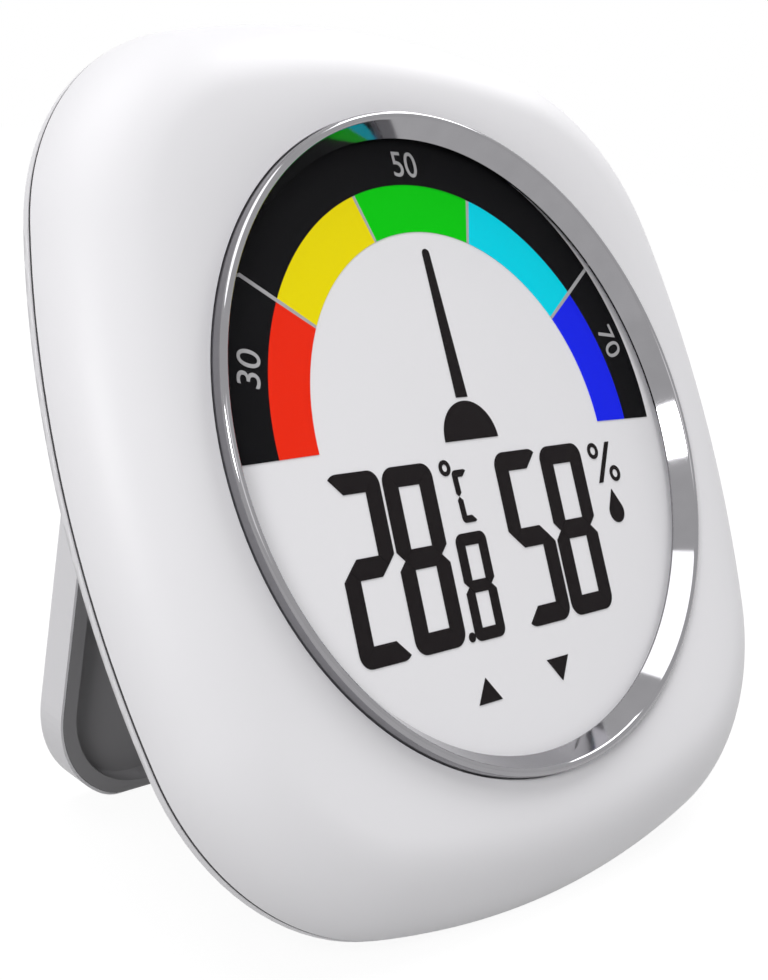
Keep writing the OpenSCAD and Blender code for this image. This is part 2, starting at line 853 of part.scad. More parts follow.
// Seven-segment figure standing on its lower left corner; lit lists segments from the top clockwise,
// then the middle bar
module figure(w, h, stroke, lit) {
    g = segment_gap / 2;
    half_h = h / 2;
    s = stroke;
    n = g + figure_nip;
    bar = [[n, 0], [w - n, 0], [w - s - g, -s], [s + g, -s]];
    side_bar = [[0, -n], [0, -half_h + g], [s / 2, -half_h + g], [s, -half_h + s / 2 + g], [s, -s - g]];
    middle = [
        [s / 2 + g, 0], [s + g, s / 2], [w - s - g, s / 2],
        [w - s / 2 - g, 0], [w - s - g, -s / 2], [s + g, -s / 2]
    ];
    if (lit[0]) translate([0, h]) polygon(bar);
    if (lit[1]) translate([w, h]) mirror([1, 0]) polygon(side_bar);
    if (lit[2]) translate([w, 0]) mirror([1, 0]) mirror([0, 1]) polygon(side_bar);
    if (lit[3]) mirror([0, 1]) polygon(bar);
    if (lit[4]) mirror([0, 1]) polygon(side_bar);
    if (lit[5]) translate([0, h]) polygon(side_bar);
    if (lit[6]) translate([0, half_h]) polygon(middle);
}

module ring_sign() {
    difference() {
        circle(ring_sign_r);
        circle(ring_sign_r - ring_sign_stroke);
    }
}

module arrow(up) {
    mirror([0, up ? 0 : 1])
        polygon([[-arrow_half_w, -arrow_h / 2], [arrow_half_w, -arrow_h / 2], [0, arrow_h / 2]]);
}

// Two small rings on either side of a slanted stroke
module percent_sign() {
    translate([ring_sign_r, percent_h - ring_sign_r]) ring_sign();
    translate([percent_w - ring_sign_r, ring_sign_r]) ring_sign();
    polygon([
        [ring_sign_stroke, 0],
        [ring_sign_stroke + sign_stroke, 0],
        [percent_w - ring_sign_stroke, percent_h],
        [percent_w - ring_sign_stroke - sign_stroke, percent_h]
    ]);
}

// A water drop: a round belly under a pointed tip that meets it smoothly
module drop_sign() {
    touch_a = 30;
    touch = drop_r * [cos(touch_a), sin(touch_a)];
    circle(drop_r);
    polygon([[-touch[0], touch[1]], touch, [0, drop_r / sin(touch_a)]]);
}

module display_figures() {
    low = -digit_top - digit_h;
    step = digit_w + 2 * segment_gap;
    dot_r = 2 * segment_gap;
    translate([digits_left, low]) figure(digit_w, digit_h, digit_stroke, two);
    translate([digits_left + step, low]) figure(digit_w, digit_h, digit_stroke, eight);
    translate([digits_right, low]) figure(digit_w, digit_h, digit_stroke, five);
    translate([digits_right + step, low]) figure(digit_w, digit_h, digit_stroke, eight);
    translate([small_left, low]) figure(small_w, small_h, small_stroke, eight);
    translate([small_left - dot_r, low + dot_r]) circle(dot_r);
    translate([sign_left, -digit_top - sign_drop - sign_h])
        figure(sign_w, sign_h, sign_stroke, letter_c);
    translate([sign_left - ring_sign_r, -digit_top - ring_sign_r]) ring_sign();
    translate([percent_left, -digit_top - percent_h]) percent_sign();
    translate([arrow_at[0], arrow_v]) arrow(true);
    translate([arrow_at[1], arrow_v]) arrow(false);
    translate(drop_at) drop_sign();
}

module needle() {
    polygon([
        [-needle_w / 2, needle_low],
        [needle_w / 2, needle_low],
        [needle_tip_w / 2, needle_tip],
        [-needle_tip_w / 2, needle_tip]
    ]);
    intersection() {
        translate([0, -hub_drop]) circle(hub_r);
        translate([-hub_r, -hub_drop]) square([2 * hub_r, 2 * hub_r]);
    }
}

module lcd_segments() {
    color("black") in_row() translate([0, dial_rise, lcd_front]) linear_extrude(print_t) {
        needle();
        display_figures();
    }
}

module lcd_polariser() {
    color("lightgray") in_row() post([0, 0], front_glass_top, lcd_front, cell_disc_r);
}

module lcd_front_glass() {
    color("azure") in_row() post([0, 0], rear_glass_top, front_glass_top, cell_disc_r);
}

// The rear glass and the reflector stop below the contacts
module short_disc(low, high) {
    difference() {
        post([0, 0], low, high, cell_disc_r);
        span_box([-cell_disc_r, contact_v, low - over], [cell_disc_r, cell_disc_r + over, high + over]);
    }
}

module lcd_rear_glass() {
    color("azure") in_row() short_disc(reflector_top, rear_glass_top);
}

module lcd_reflector() {
    color("gainsboro") in_row() short_disc(lcd_back, reflector_top);
}

module zebra_strip() {
    color("dimgray") in_row()
        span_box([-zebra_half_w, zebra_v, board_front], [zebra_half_w, zebra_v + zebra_t, rear_glass_top]);
}

// Rim under the display cell, with ears that the board screws clamp
module lcd_frame() {
    color("whitesmoke") in_row() difference() {
        union() {
            post([0, 0], lcd_back - frame_t, lcd_back, cell_disc_r);
            for (at = board_screw_at) {
                side = at[0] > 0 ? 1 : -1;
                post(at, board_front, ear_top, board_boss_r);
                span_box(
                    [min(at[0], side * ear_in_u), at[1] - board_boss_r, board_front],
                    [max(at[0], side * ear_in_u), at[1] + board_boss_r, ear_top]
                );
            }
        }
        post([0, 0], -over, lcd_back + over, cell_disc_r - frame_w);
        for (at = board_screw_at) post(at, -over, front_h, board_screw_r + screw_gap * 2);
        span_box([-zebra_half_w - loose, contact_v, -over], [zebra_half_w + loose, half, front_h]);
    }
}

// Half profile of the room for the board inside the locating lip
module board_room_profile(start) {
    translate([start, board_back - over]) square([lip_in_x - board_gap - start, board_t + 2 * over]);
}

module board_room() {
    case_core(board_back - over, board_front + over);
    for (quarter = [0:3]) rotate([0, 0, 90 * quarter]) case_quarter() {
        board_room_profile(-corner_c);
        board_room_profile(0);
    }
}

module main_board() {
    color("darkgreen") in_row() difference() {
        intersection() {
            union() {
                span_box([-board_half_w, board_low, board_back], [board_half_w, board_mid, board_front]);
                span_box([-tab_half_w, board_mid - over, board_back], [tab_half_w, board_high, board_front]);
            }
            board_room();
        }
        for (at = board_screw_at)
            post(at, board_back - over, board_front + over, board_screw_r + screw_gap * 2);
    }
}

// Drop of resin over the controller chip
module controller_blob() {
    ball_r = (blob_r * blob_r + blob_h * blob_h) / (2 * blob_h);
    color("black") in_row() intersection() {
        translate([blob_at[0], blob_at[1], board_back - blob_h + ball_r]) sphere(ball_r);
        post(blob_at, board_back - blob_h - over, board_back, blob_r + over);
    }
}

module crystal() {
    color("silver") in_row() translate([crystal_at[0], crystal_at[1], board_back - crystal_r])
        rotate([0, 90, 0]) cylinder(h = crystal_len, r = crystal_r);
}

module capacitors() {
    color("tan") in_row() {
        for (i = [0:chip_count - 1])
            translate([chip_at[0] + i * chip_pitch, chip_at[1], board_back - chip_size[2]]) cube(chip_size);
        post(can_at, board_back - can_h, board_back, can_r);
    }
}

module button_switches() {
    color("dimgray") in_row() for (u = button_at) {
        span_box(
            [u - switch_w / 2, button_v - switch_w / 2, board_back - switch_h],
            [u + switch_w / 2, button_v + switch_w / 2, board_back]
        );
        post([u, button_v], switch_back, board_back - switch_h + flush, plunger_r);
    }
}

// Open-faced sensor beside the left air slots
module humidity_sensor() {
    corner = [sensor_at[0], sensor_at[1], board_back - sensor_size[2]];
    color("royalblue") in_row() translate(corner) difference() {
        cube(sensor_size);
        for (i = [0:sensor_slots - 1])
            translate([sensor_wall, sensor_slot_w + i * sensor_slot_pitch, -over])
                cube([sensor_size[0] - 2 * sensor_wall, sensor_slot_w, sensor_wall + over]);
    }
}

module thermistor() {
    bead_w = board_back - bead_drop;
    color("saddlebrown") in_row() {
        translate([bead_at[0], bead_at[1], bead_w]) sphere(bead_r);
        for (side = [-1, 1])
            post([bead_at[0] + side * wire_half_gap, bead_at[1]], bead_w, board_back, wire_r);
    }
}

// Pan head and shank, with a cross recess, standing along z with its seat at zero
module screw(r, len, head_r, head_h) {
    recess_w = head_r * 0.3;
    recess_len = head_r * 1.2;
    recess_d = head_h / 2;
    difference() {
        union() {
            cylinder(h = len, r = r);
            translate([0, 0, -head_h]) cylinder(h = head_h, r = head_r);
        }
        for (turn = [0, 90]) rotate([0, 0, turn])
            translate([-recess_len / 2, -recess_w / 2, -head_h - over])
                cube([recess_len, recess_w, recess_d + over]);
    }
}

module board_screws() {
    color("silver") in_row() for (at = board_screw_at)
        translate([at[0], at[1], board_back])
            screw(board_screw_r, board_screw_len, board_head_r, board_head_h);
}

module case_screws() {
    color("silver") in_row() for (at = case_screw_at)
        translate([at[0], at[1], -screw_seat])
            screw(case_screw_r, case_screw_len, case_head_r, case_head_h);
}

// The cell lies across the bay with its nub to the right
module battery_cell() {
    color("gold") in_row() translate([cell_low_u, cell_v, cell_w]) rotate([0, 90, 0]) {
        cylinder(h = cell_len - nub_len, r = cell_r);
        cylinder(h = cell_len, r = nub_r);
    }
}

// Contact plate with a tail through the bay's wall
module contact(side) {
    mirror([side < 0 ? 1 : 0, 0, 0]) {
        span_box(
            [plate_u, cell_v - contact_half_h, cell_w - contact_drop],
            [plate_u + contact_t, cell_v + contact_half_h, tail_w]
        );
        span_box([plate_u, cell_v, tail_w - tail_h], [plate_u + contact_t, tail_end_v, tail_w]);
    }
}

module battery_plate() {
    color("silver") in_row() contact(1);
}

// One ring of the spring's wire at a point of its coil
function spring_ring(turn, radius, along, sides) = [
    for (k = [0:sides - 1])
    let (a = 360 * k / sides, r = radius + spring_wire * cos(a))
    [along + spring_wire * sin(a), r * cos(turn), r * sin(turn)]
];

module contact_spring() {
    sides = 6;
    per_turn = 16;
    start_u = -plate_u + spring_wire + spring_seat_gap;
    end_u = cell_low_u - spring_wire - spring_seat_gap;
    steps = spring_turns * per_turn;
    rings = [
        for (i = [0:steps])
        let (
            share = i / steps,
            r = spring_wide_r + (spring_narrow_r - spring_wide_r) * share,
            u = start_u + (end_u - start_u) * share
        )
        spring_ring(360 * i / per_turn, r, u, sides)
    ];
    points = [for (ring = rings) each ring];
    skin = [
        for (i = [0:steps - 1])
        for (k = [0:sides - 1])
        let (a = i * sides + k, b = i * sides + (k + 1) % sides)
        each [[a, b, a + sides], [b, b + sides, a + sides]]
    ];
    first_cap = [for (k = [1:sides - 2]) [0, k + 1, k]];
    last = steps * sides;
    last_cap = [for (k = [1:sides - 2]) [last, last + k, last + k + 1]];
    polyhedron(points, concat(skin, first_cap, last_cap));
}

module battery_spring() {
    color("silver") in_row() {
        contact(-1);
        translate([0, cell_v, cell_w]) contact_spring();
    }
}

// Lead from a contact's tail up to the board
module lead(side) {
    u = side * (plate_u + contact_t / 2);
    w = tail_w - tail_h / 2;
    translate([u, tail_end_v, w]) rotate([-90, 0, 0]) cylinder(h = lead_turn_v - tail_end_v, r = lead_r);
    translate([u, lead_turn_v, w]) sphere(lead_r);
    post([u, lead_turn_v], w, board_back, lead_r);
}

module positive_lead() {
    color("red") in_row() lead(1);
}

module negative_lead() {
    color("black") in_row() lead(-1);
}

module battery_door() {
    inner = door_half_w - door_edge_w - slide_gap;
    color("white") in_row() {
        span_box([-door_half_w, door_low, door_w - door_edge_t], [door_half_w, door_low + door_h, door_w]);
        span_box(
            [-inner, door_low + rail_t, door_w - door_t],
            [inner, door_low + door_h, door_w - door_edge_t]
        );
        for (i = [0:rib_count - 1]) {
            v = door_low + door_h - rib_margin - i * rib_pitch;
            top = door_w - door_t;
            span_box([-rib_half_w, v - rib_half_h, top - rib_rise], [rib_half_w, v + rib_half_h, top]);
        }
    }
}

module button(u) {
    in_row() {
        post([u, button_v], floor_in + door_gap, floor_in + door_gap + button_flange_t, button_flange_r);
        post([u, button_v], -rear_d - button_proud, floor_in + door_gap + button_flange_t, button_r);
        post([u, button_v], floor_in, button_end, button_stem_r);
    }
}

module max_min_button() {
    color("whitesmoke") button(-button_u);
}

module unit_button() {
    color("whitesmoke") button(button_u);
}

// Side view of the leg: a slab between the hinge barrel and the round foot
module stand_side() {
    translate([-stand_len, -foot_r]) square([stand_len, stand_t]);
    translate([-stand_len, 0]) circle(foot_r);
    circle(stand_t / 2);
}

module stand() {
    color("white") difference() {
        in_row() at_hinge() {
            difference() {
                intersection() {
                    translate([-stand_half_w, 0, 0]) rotate([90, 0, 90])
                        linear_extrude(2 * stand_half_w) stand_side();
                    translate([0, 0, -stand_t]) linear_extrude(2 * stand_t) stand_plan(0, stand_t);
                }
                translate([0, 0, -foot_r + stand_skin])
                    linear_extrude(stand_t) stand_plan(hollow_wall, hollow_top);
                translate([0, 0, foot_r - liner_t]) linear_extrude(stand_t)
                    stand_plan(liner_edge, hollow_top + stand_rim - liner_edge);
            }
            span_box([-heel_w / 2, 0, -foot_r], [heel_w / 2, heel_len, heel_top]);
            for (side = [-1, 1]) translate([side * (stand_half_w - over), 0, 0]) rotate([0, side * 90, 0])
                cylinder(h = pin_len + over, r = pin_r);
        }
        below_floor();
    }
}

module stand_liner() {
    floor_w = -foot_r + stand_skin;
    color("dimgray") difference() {
        in_row() at_hinge() intersection() {
            difference() {
                union() {
                    translate([0, 0, floor_w]) linear_extrude(foot_r - floor_w)
                        stand_plan(hollow_wall + flush, hollow_top - flush);
                    translate([0, 0, foot_r - liner_t]) linear_extrude(liner_t)
                        stand_plan(liner_edge + flush, hollow_top + stand_rim - liner_edge - flush);
                }
                translate([0, 0, floor_w + liner_t]) linear_extrude(stand_t)
                    stand_plan(stand_rim, hollow_top - liner_t);
            }
            translate([-stand_half_w, 0, 0]) rotate([90, 0, 90])
                linear_extrude(2 * stand_half_w) stand_side();
        }
        below_floor();
    }
}

front_shell();
rear_shell();
bezel_ring();
lens();
scale_band();
zone_red();
zone_yellow();
zone_green();
zone_cyan();
zone_blue();
lcd_segments();
lcd_polariser();
lcd_front_glass();
lcd_rear_glass();
lcd_reflector();
lcd_frame();
zebra_strip();
main_board();
controller_blob();
crystal();
capacitors();
button_switches();
humidity_sensor();
thermistor();
board_screws();
case_screws();
battery_cell();
battery_spring();
battery_plate();
positive_lead();
negative_lead();
battery_door();
max_min_button();
unit_button();
stand();
stand_liner();
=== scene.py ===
# Desk thermometer and humidity meter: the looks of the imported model.
# Shapes are drawn in millimetres in the face frame: u to the viewer's right, v up the face, w out of it, and
# zero at the middle of the case on its parting line. They are then leaned back into the shared frame.
import json
import math

import bmesh
import bpy
from mathutils import Matrix, Vector

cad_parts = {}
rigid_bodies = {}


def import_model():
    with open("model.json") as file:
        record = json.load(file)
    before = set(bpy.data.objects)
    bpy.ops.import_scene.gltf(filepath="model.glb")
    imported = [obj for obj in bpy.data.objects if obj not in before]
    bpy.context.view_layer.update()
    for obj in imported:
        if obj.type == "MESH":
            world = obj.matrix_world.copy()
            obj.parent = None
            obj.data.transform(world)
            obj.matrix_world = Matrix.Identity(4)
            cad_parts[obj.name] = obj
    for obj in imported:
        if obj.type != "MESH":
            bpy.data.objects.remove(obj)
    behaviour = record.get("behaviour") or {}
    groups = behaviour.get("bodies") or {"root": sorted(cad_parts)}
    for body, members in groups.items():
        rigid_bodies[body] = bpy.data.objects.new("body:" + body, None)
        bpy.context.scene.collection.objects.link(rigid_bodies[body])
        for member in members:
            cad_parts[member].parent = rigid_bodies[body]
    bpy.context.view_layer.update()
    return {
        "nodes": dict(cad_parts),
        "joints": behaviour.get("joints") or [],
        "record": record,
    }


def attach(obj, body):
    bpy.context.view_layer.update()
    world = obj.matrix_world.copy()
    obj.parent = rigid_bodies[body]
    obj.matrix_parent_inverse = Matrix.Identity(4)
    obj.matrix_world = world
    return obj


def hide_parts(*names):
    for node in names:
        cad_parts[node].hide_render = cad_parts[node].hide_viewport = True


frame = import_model()

MM = 0.001

# Posture of the case and of its leg
LEAN = math.radians(26)
STAND_OPEN = math.radians(32)
HINGE = Vector((0, 19.6, -13))
STAND_LEN = 53.748
FOOT_R = 1.95

# Case
HALF = 48
CORNER_R = 27
FRONT_H = 6.8
EDGE_W = 9
RIM_H = 1
REAR_D = 15
REAR_INSET = 10
BACK_EDGE_R = 4
WALL = 2
# A side arc's centre lies 40 steps across and 9 steps along from a corner arc's centre
BOW_STEP = (HALF - CORNER_R) / 10
CORNER_C = 9 * BOW_STEP
SIDE_C = CORNER_C - 40 * BOW_STEP
ARC_GAP = 41 * BOW_STEP
MEET_ANGLE = math.atan2(9, 40)
EDGE_R = (EDGE_W ** 2 + FRONT_H ** 2) / (2 * FRONT_H)
EDGE_X = CORNER_R - EDGE_W
EDGE_Z = FRONT_H - EDGE_R

# Window, ring and display
RING_R = 35.4
RING_IN_R = 33.1
RING_RISE = 1.4
RING_SEAT = 5.8
RING_CREST_R = 0.5
RING_LIP = 0.2
SEAT_R = RING_R + 0.1
WINDOW_R = 34.2
CELL_SEAT_R = 35.2
SEAM_H = 0.25
SEAM_W = 0.8
LCD_FRONT = 5.1
PRINT_T = 0.08
DIAL_RISE = 0.8
ZONE_IN_R = 22.2
ZONE_OUT_R = 27.4
ZONE_LINE = 0.45
LINE_ANGLES = (33.2, 71, 109, 146.8)
OVERRUN = math.radians(1)
# The black band's outer edge is a circle of its own, which runs under the ring at the top
BAND_R = 32
BAND_TOP_R = 33.2
BAND_EDGE_R = (BAND_TOP_R ** 2 + BAND_R ** 2) / (2 * BAND_TOP_R)
BAND_EDGE_V = BAND_TOP_R - BAND_EDGE_R
BAND_TEXT_R = 28.35
BAND_TEXT_H = 2.9
BAND_NUMBERS = {"30": 163.5, "50": 90, "70": 17.5}

# Fineness of round shapes
SIDE_STEPS = 24
CORNER_STEPS = 40
EDGE_STEPS = 24
RING_STEPS = 288


def face_matrix():
    """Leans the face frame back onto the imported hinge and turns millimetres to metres."""
    lean_back = Matrix.Rotation(math.pi / 2 - LEAN, 4, "X")
    hinge = next(j for j in frame["joints"] if j["name"] == "stand_fold")
    shift = Vector(hinge["pos_m"]) - (lean_back @ HINGE) * MM
    return Matrix.Translation(shift) @ lean_back @ Matrix.Scale(MM, 4)


FACE = face_matrix()


# Nodes and colours

FLOW_MM = 30
GLOSS_SPREAD = 0.05
SKIN_STRENGTH = 0.25
DOT_MM = 0.35
HAZE_MM = 6
PLASTIC_IOR = 1.5
ACRYLIC_IOR = 1.49
INK_SPECULAR = 0.02
SHEET_ROUGHNESS = 0.08


def linear(hex_color):
    """An sRGB hex colour as linear red, green, blue and alpha."""
    channels = [int(hex_color[i:i + 2], 16) / 255 for i in (1, 3, 5)]
    low = [c / 12.92 if c <= 0.04045 else ((c + 0.055) / 1.055) ** 2.4 for c in channels]
    return (*low, 1)


def per_mm(size_mm):
    """Texture scale at which one feature measures the given size."""
    return 1 / (size_mm * MM)


def add_node(tree, kind, inputs=None, **settings):
    """Adds a node, sets its properties, and fills its inputs with values, a link or a list of links."""
    node = tree.nodes.new(kind)
    for name, value in settings.items():
        setattr(node, name, value)
    for name, value in (inputs or {}).items():
        links = value if isinstance(value, list) else [value]
        for link in links:
            if isinstance(link, bpy.types.NodeSocket):
                tree.links.new(link, node.inputs[name])
            else:
                node.inputs[name].default_value = link
    return node


def new_material(name):
    """A material with an empty node tree."""
    material = bpy.data.materials.new(name)
    material.use_nodes = True
    material.node_tree.nodes.clear()
    return material, material.node_tree


def finish_material(tree, shader):
    add_node(tree, "ShaderNodeOutputMaterial", {"Surface": shader.outputs[0]})


def two_tone(tree, fac, first, second):
    """A ramp between two hex colours."""
    ramp = add_node(tree, "ShaderNodeValToRGB", {"Fac": fac})
    ramp.color_ramp.elements[0].color = linear(first)
    ramp.color_ramp.elements[1].color = linear(second)
    return ramp.outputs["Color"]


def moulded_plastic(name, first, second, roughness, grit_mm, depth_mm, specular=0.5):
    """Injection-moulded plastic: an even colour with a faint cloud of flow, over a fine spark-eroded skin
    whose grit breaks up the gloss."""
    material, tree = new_material(name)
    place = add_node(tree, "ShaderNodeTexCoord").outputs["Object"]
    flow = add_node(tree, "ShaderNodeTexNoise", {"Vector": place, "Scale": per_mm(FLOW_MM), "Detail": 2})
    grit = add_node(tree, "ShaderNodeTexNoise", {"Vector": place, "Scale": per_mm(grit_mm), "Detail": 3})
    gloss = add_node(tree, "ShaderNodeMapRange", {
        "Value": grit.outputs["Fac"], "To Min": roughness - GLOSS_SPREAD,
        "To Max": roughness + GLOSS_SPREAD})
    skin = add_node(tree, "ShaderNodeBump", {
        "Height": grit.outputs["Fac"], "Strength": SKIN_STRENGTH, "Distance": depth_mm * MM})
    shader = add_node(tree, "ShaderNodeBsdfPrincipled", {
        "Base Color": two_tone(tree, flow.outputs["Fac"], first, second),
        "Roughness": gloss.outputs["Result"], "Normal": skin.outputs["Normal"],
        "IOR": PLASTIC_IOR, "Specular IOR Level": specular})
    finish_material(tree, shader)
    return material


def printed_ink(name, first, second, roughness=0.6):
    """Screen-printed ink behind a clear window: strong flat colour, a faint dot grain and little gloss."""
    material, tree = new_material(name)
    place = add_node(tree, "ShaderNodeTexCoord").outputs["Object"]
    dots = add_node(tree, "ShaderNodeTexVoronoi", {"Vector": place, "Scale": per_mm(DOT_MM)})
    shader = add_node(tree, "ShaderNodeBsdfPrincipled", {
        "Base Color": two_tone(tree, dots.outputs["Distance"], first, second),
        "Roughness": roughness, "IOR": PLASTIC_IOR, "Specular IOR Level": INK_SPECULAR})
    finish_material(tree, shader)
    return material


def plated_metal(name, first, second, roughness, line_mm, spread=0.04):
    """Plated metal: a bright mirror with faint polishing marks that blur the reflections a little."""
    material, tree = new_material(name)
    place = add_node(tree, "ShaderNodeTexCoord").outputs["Object"]
    marks = add_node(tree, "ShaderNodeTexNoise", {"Vector": place, "Scale": per_mm(line_mm), "Detail": 2})
    gloss = add_node(tree, "ShaderNodeMapRange", {
        "Value": marks.outputs["Fac"], "To Min": roughness - spread, "To Max": roughness + spread})
    shader = add_node(tree, "ShaderNodeBsdfPrincipled", {
        "Base Color": two_tone(tree, marks.outputs["Fac"], first, second),
        "Metallic": 1, "Roughness": gloss.outputs["Result"]})
    finish_material(tree, shader)
    return material


def clear_sheet(name, first, second, alpha):
    """Clear sheet without glare: next to nothing of its own shows."""
    material, tree = new_material(name)
    place = add_node(tree, "ShaderNodeTexCoord").outputs["Object"]
    haze = add_node(tree, "ShaderNodeTexNoise", {"Vector": place, "Scale": per_mm(HAZE_MM), "Detail": 1})
    shader = add_node(tree, "ShaderNodeBsdfPrincipled", {
        "Base Color": two_tone(tree, haze.outputs["Fac"], first, second),
        "Roughness": SHEET_ROUGHNESS, "IOR": ACRYLIC_IOR, "Alpha": alpha})
    finish_material(tree, shader)
    return material


# Materials, one for each finish

MATERIALS = {
    # Satin white ABS of the case: pale, very slightly cool, with a soft broad sheen
    "white_abs": moulded_plastic("satin_white_abs", "#ecebee", "#f0eff2", 0.42, 0.45, 0.012, 0.35),
    # Same plastic on the buttons, a shade greyer
    "button_abs": moulded_plastic("satin_button_abs", "#dfdee1", "#e6e5e8", 0.4, 0.4, 0.012),
    # Grey moulded lining of the leg's hollow, dull: painted shade, its grey stands in for the shadow inside
    # the white leg's hollow
    "grey_liner_abs": moulded_plastic("grey_liner_abs", "#8a898b", "#929193", 0.55, 0.4, 0.015, 0.3),
    # Dark strip in the parting groove: painted shade, a dark band standing in for the groove's shadow
    "groove_shade_paint": moulded_plastic("shade_painted_groove_band", "#4a494b", "#504f51", 0.7, 0.4, 0.01, 0.1),
    # Dark plated ring: a grey mirror with soft edges to its reflections
    "chrome_plate": plated_metal("dark_chrome_plate", "#8e8d90", "#979699", 0.06, 3, 0.02),
    # Clear acrylic window
    "clear_acrylic": clear_sheet("clear_acrylic", "#5c6266", "#6a7074", 0.01),
    # Inks of the dial: deep black, five strong colours and pale grey lines, all without shine
    "black_print": printed_ink("black_screen_ink", "#0c0b0d", "#131214"),
    "red_print": printed_ink("red_screen_ink", "#ff2d13", "#ff3015"),
    "yellow_print": printed_ink("yellow_screen_ink", "#fdea06", "#ffec0a"),
    "green_print": printed_ink("green_screen_ink", "#04d80c", "#07db11"),
    "cyan_print": printed_ink("cyan_screen_ink", "#03e4fb", "#07e7fd"),
    "blue_print": printed_ink("blue_screen_ink", "#1a28ff", "#1e2cff"),
    "grey_print": printed_ink("grey_screen_ink", "#b4b3b5", "#bebdbf"),
    # Switched-on segments of the display: near black, a little warm
    "lcd_ink": printed_ink("switched_lcd_segments", "#1e1a1b", "#242021"),
    # Front film of the display: pale grey with a soft tooth
    "polariser_film": moulded_plastic("grey_polariser_film", "#f4f3f6", "#f8f7fa", 0.6, 0.2, 0.003, 0.1),
    # Thin clear glass with a faint green cast, and a pearly grey film behind it
    "cell_glass": clear_sheet("display_cell_glass", "#dfe9e4", "#e6eee9", 0.35),
    "reflector_film": moulded_plastic("pearl_reflector_film", "#d2d2d2", "#dadada", 0.5, 0.3, 0.004),
    # Dull white frame round the display, and a dark grey striped rubber that feeds it
    "frame_abs": moulded_plastic("white_frame_abs", "#dddddd", "#e4e4e4", 0.5, 0.5, 0.012),
    "zebra_rubber": moulded_plastic("layered_contact_rubber", "#2c2c2c", "#585858", 0.8, 0.3, 0.02, 0.2),
    # Green varnished board with a shiny black blob, a bright can, tan chips, black switches, a blue sensor
    # and a dark brown bead
    "board_laminate": moulded_plastic("green_solder_mask", "#0d5a2b", "#127236", 0.35, 0.8, 0.01),
    "black_resin": moulded_plastic("poured_black_resin", "#0b0b0b", "#141414", 0.2, 1.5, 0.02),
    "nickel_can": plated_metal("nickel_plated_can", "#c4c2bc", "#d0cec8", 0.25, 0.5),
    "capacitor_ceramic": moulded_plastic("fired_capacitor_ceramic", "#a78357", "#b8946a", 0.6, 0.2, 0.01),
    "switch_plastic": moulded_plastic("black_switch_nylon", "#1b1b1c", "#252526", 0.5, 0.3, 0.01),
    "sensor_plastic": moulded_plastic("blue_sensor_polyester", "#2f55b8", "#3a61c4", 0.5, 0.3, 0.01),
    "bead_epoxy": moulded_plastic("dipped_bead_epoxy", "#5a2d14", "#6b371a", 0.25, 0.8, 0.01),
    # Greyish zinc on the screws, a dull gold jacket on the cell and warm nickel on its contacts
    "zinc_steel": plated_metal("zinc_plated_steel", "#a9abad", "#bfc1c2", 0.32, 0.4, 0.08),
    "cell_jacket": plated_metal("printed_cell_jacket", "#b08a3a", "#c29c4b", 0.35, 2),
    "contact_steel": plated_metal("nickel_plated_spring_steel", "#b9b5aa", "#c9c5ba", 0.28, 0.5),
    # Satin red and black wire jackets
    "red_wire": moulded_plastic("red_wire_pvc", "#b31a1a", "#c42525", 0.45, 0.4, 0.01),
    "black_wire": moulded_plastic("black_wire_pvc", "#161616", "#202020", 0.45, 0.4, 0.01),
}


# Mesh building

JOIN_MM = 0.0005
BEVEL_ANGLE = 40
FACE_WEIGHT = 80
# Blender's own face mark, and its value for a face that alone sets the shading at its corners
FACE_MARK = "__mod_weightednormals_faceweight"
STRONG_FACE = 16384
# Angle in degrees above which an edge of a flat print stays sharp
PRINT_SHARP = 30


def make_piece(name, mesh_bm, slot, body, *nodes, place=FACE, sharp=35, finish=None):
    """Turns a mesh in its drawing frame into a piece on a body that stands for CAD nodes."""
    mesh = bpy.data.meshes.new(name)
    mesh_bm.transform(place)
    mesh_bm.to_mesh(mesh)
    mesh_bm.free()
    mesh.shade_smooth()
    mesh.set_sharp_from_angle(angle=math.radians(sharp))
    piece = bpy.data.objects.new(name, mesh)
    bpy.context.scene.collection.objects.link(piece)
    mesh.materials.append(MATERIALS[finish or slot])
    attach(piece, body)
    if nodes:
        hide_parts(*nodes)
    return piece


def polar(radius, angle, w):
    return Vector((radius * math.cos(angle), radius * math.sin(angle), w))


def case_ring(reach, w):
    """The case's outline at a distance out from its corner centres, as points at one level."""
    points = []
    for quarter in range(4):
        turn = Matrix.Rotation(quarter * math.pi / 2, 3, "Z")
        for i in range(SIDE_STEPS):
            angle = MEET_ANGLE * (2 * i / SIDE_STEPS - 1)
            points.append(turn @ (Vector((SIDE_C, 0, 0)) + polar(ARC_GAP + reach, angle, w)))
        for i in range(CORNER_STEPS):
            angle = MEET_ANGLE + (math.pi / 2 - 2 * MEET_ANGLE) * i / CORNER_STEPS
            points.append(turn @ (Vector((CORNER_C, CORNER_C, 0)) + polar(reach, angle, w)))
    return points


def round_ring(radius, w, like):
    """A circle whose points lie at the same angles as those of another ring."""
    return [polar(radius, math.atan2(p.y, p.x), w) for p in like]


def loft(rings):
    """A closed skin through rings of points, from the last ring back to the first."""
    bm = bmesh.new()
    rows = [[bm.verts.new(point) for point in ring] for ring in rings]
    for row, following in zip(rows, rows[1:] + rows[:1]):
        for i, vert in enumerate(row):
            after = (i + 1) % len(row)
            bm.faces.new((vert, row[after], following[after], following[i]))
    bmesh.ops.recalc_face_normals(bm, faces=bm.faces)
    return bm


def merged_copy(node):
    """A CAD node's own triangles with their shared corners joined."""
    bm = bmesh.new()
    bm.from_mesh(frame["nodes"][node].data)
    bmesh.ops.remove_doubles(bm, verts=bm.verts, dist=JOIN_MM * MM)
    return bm


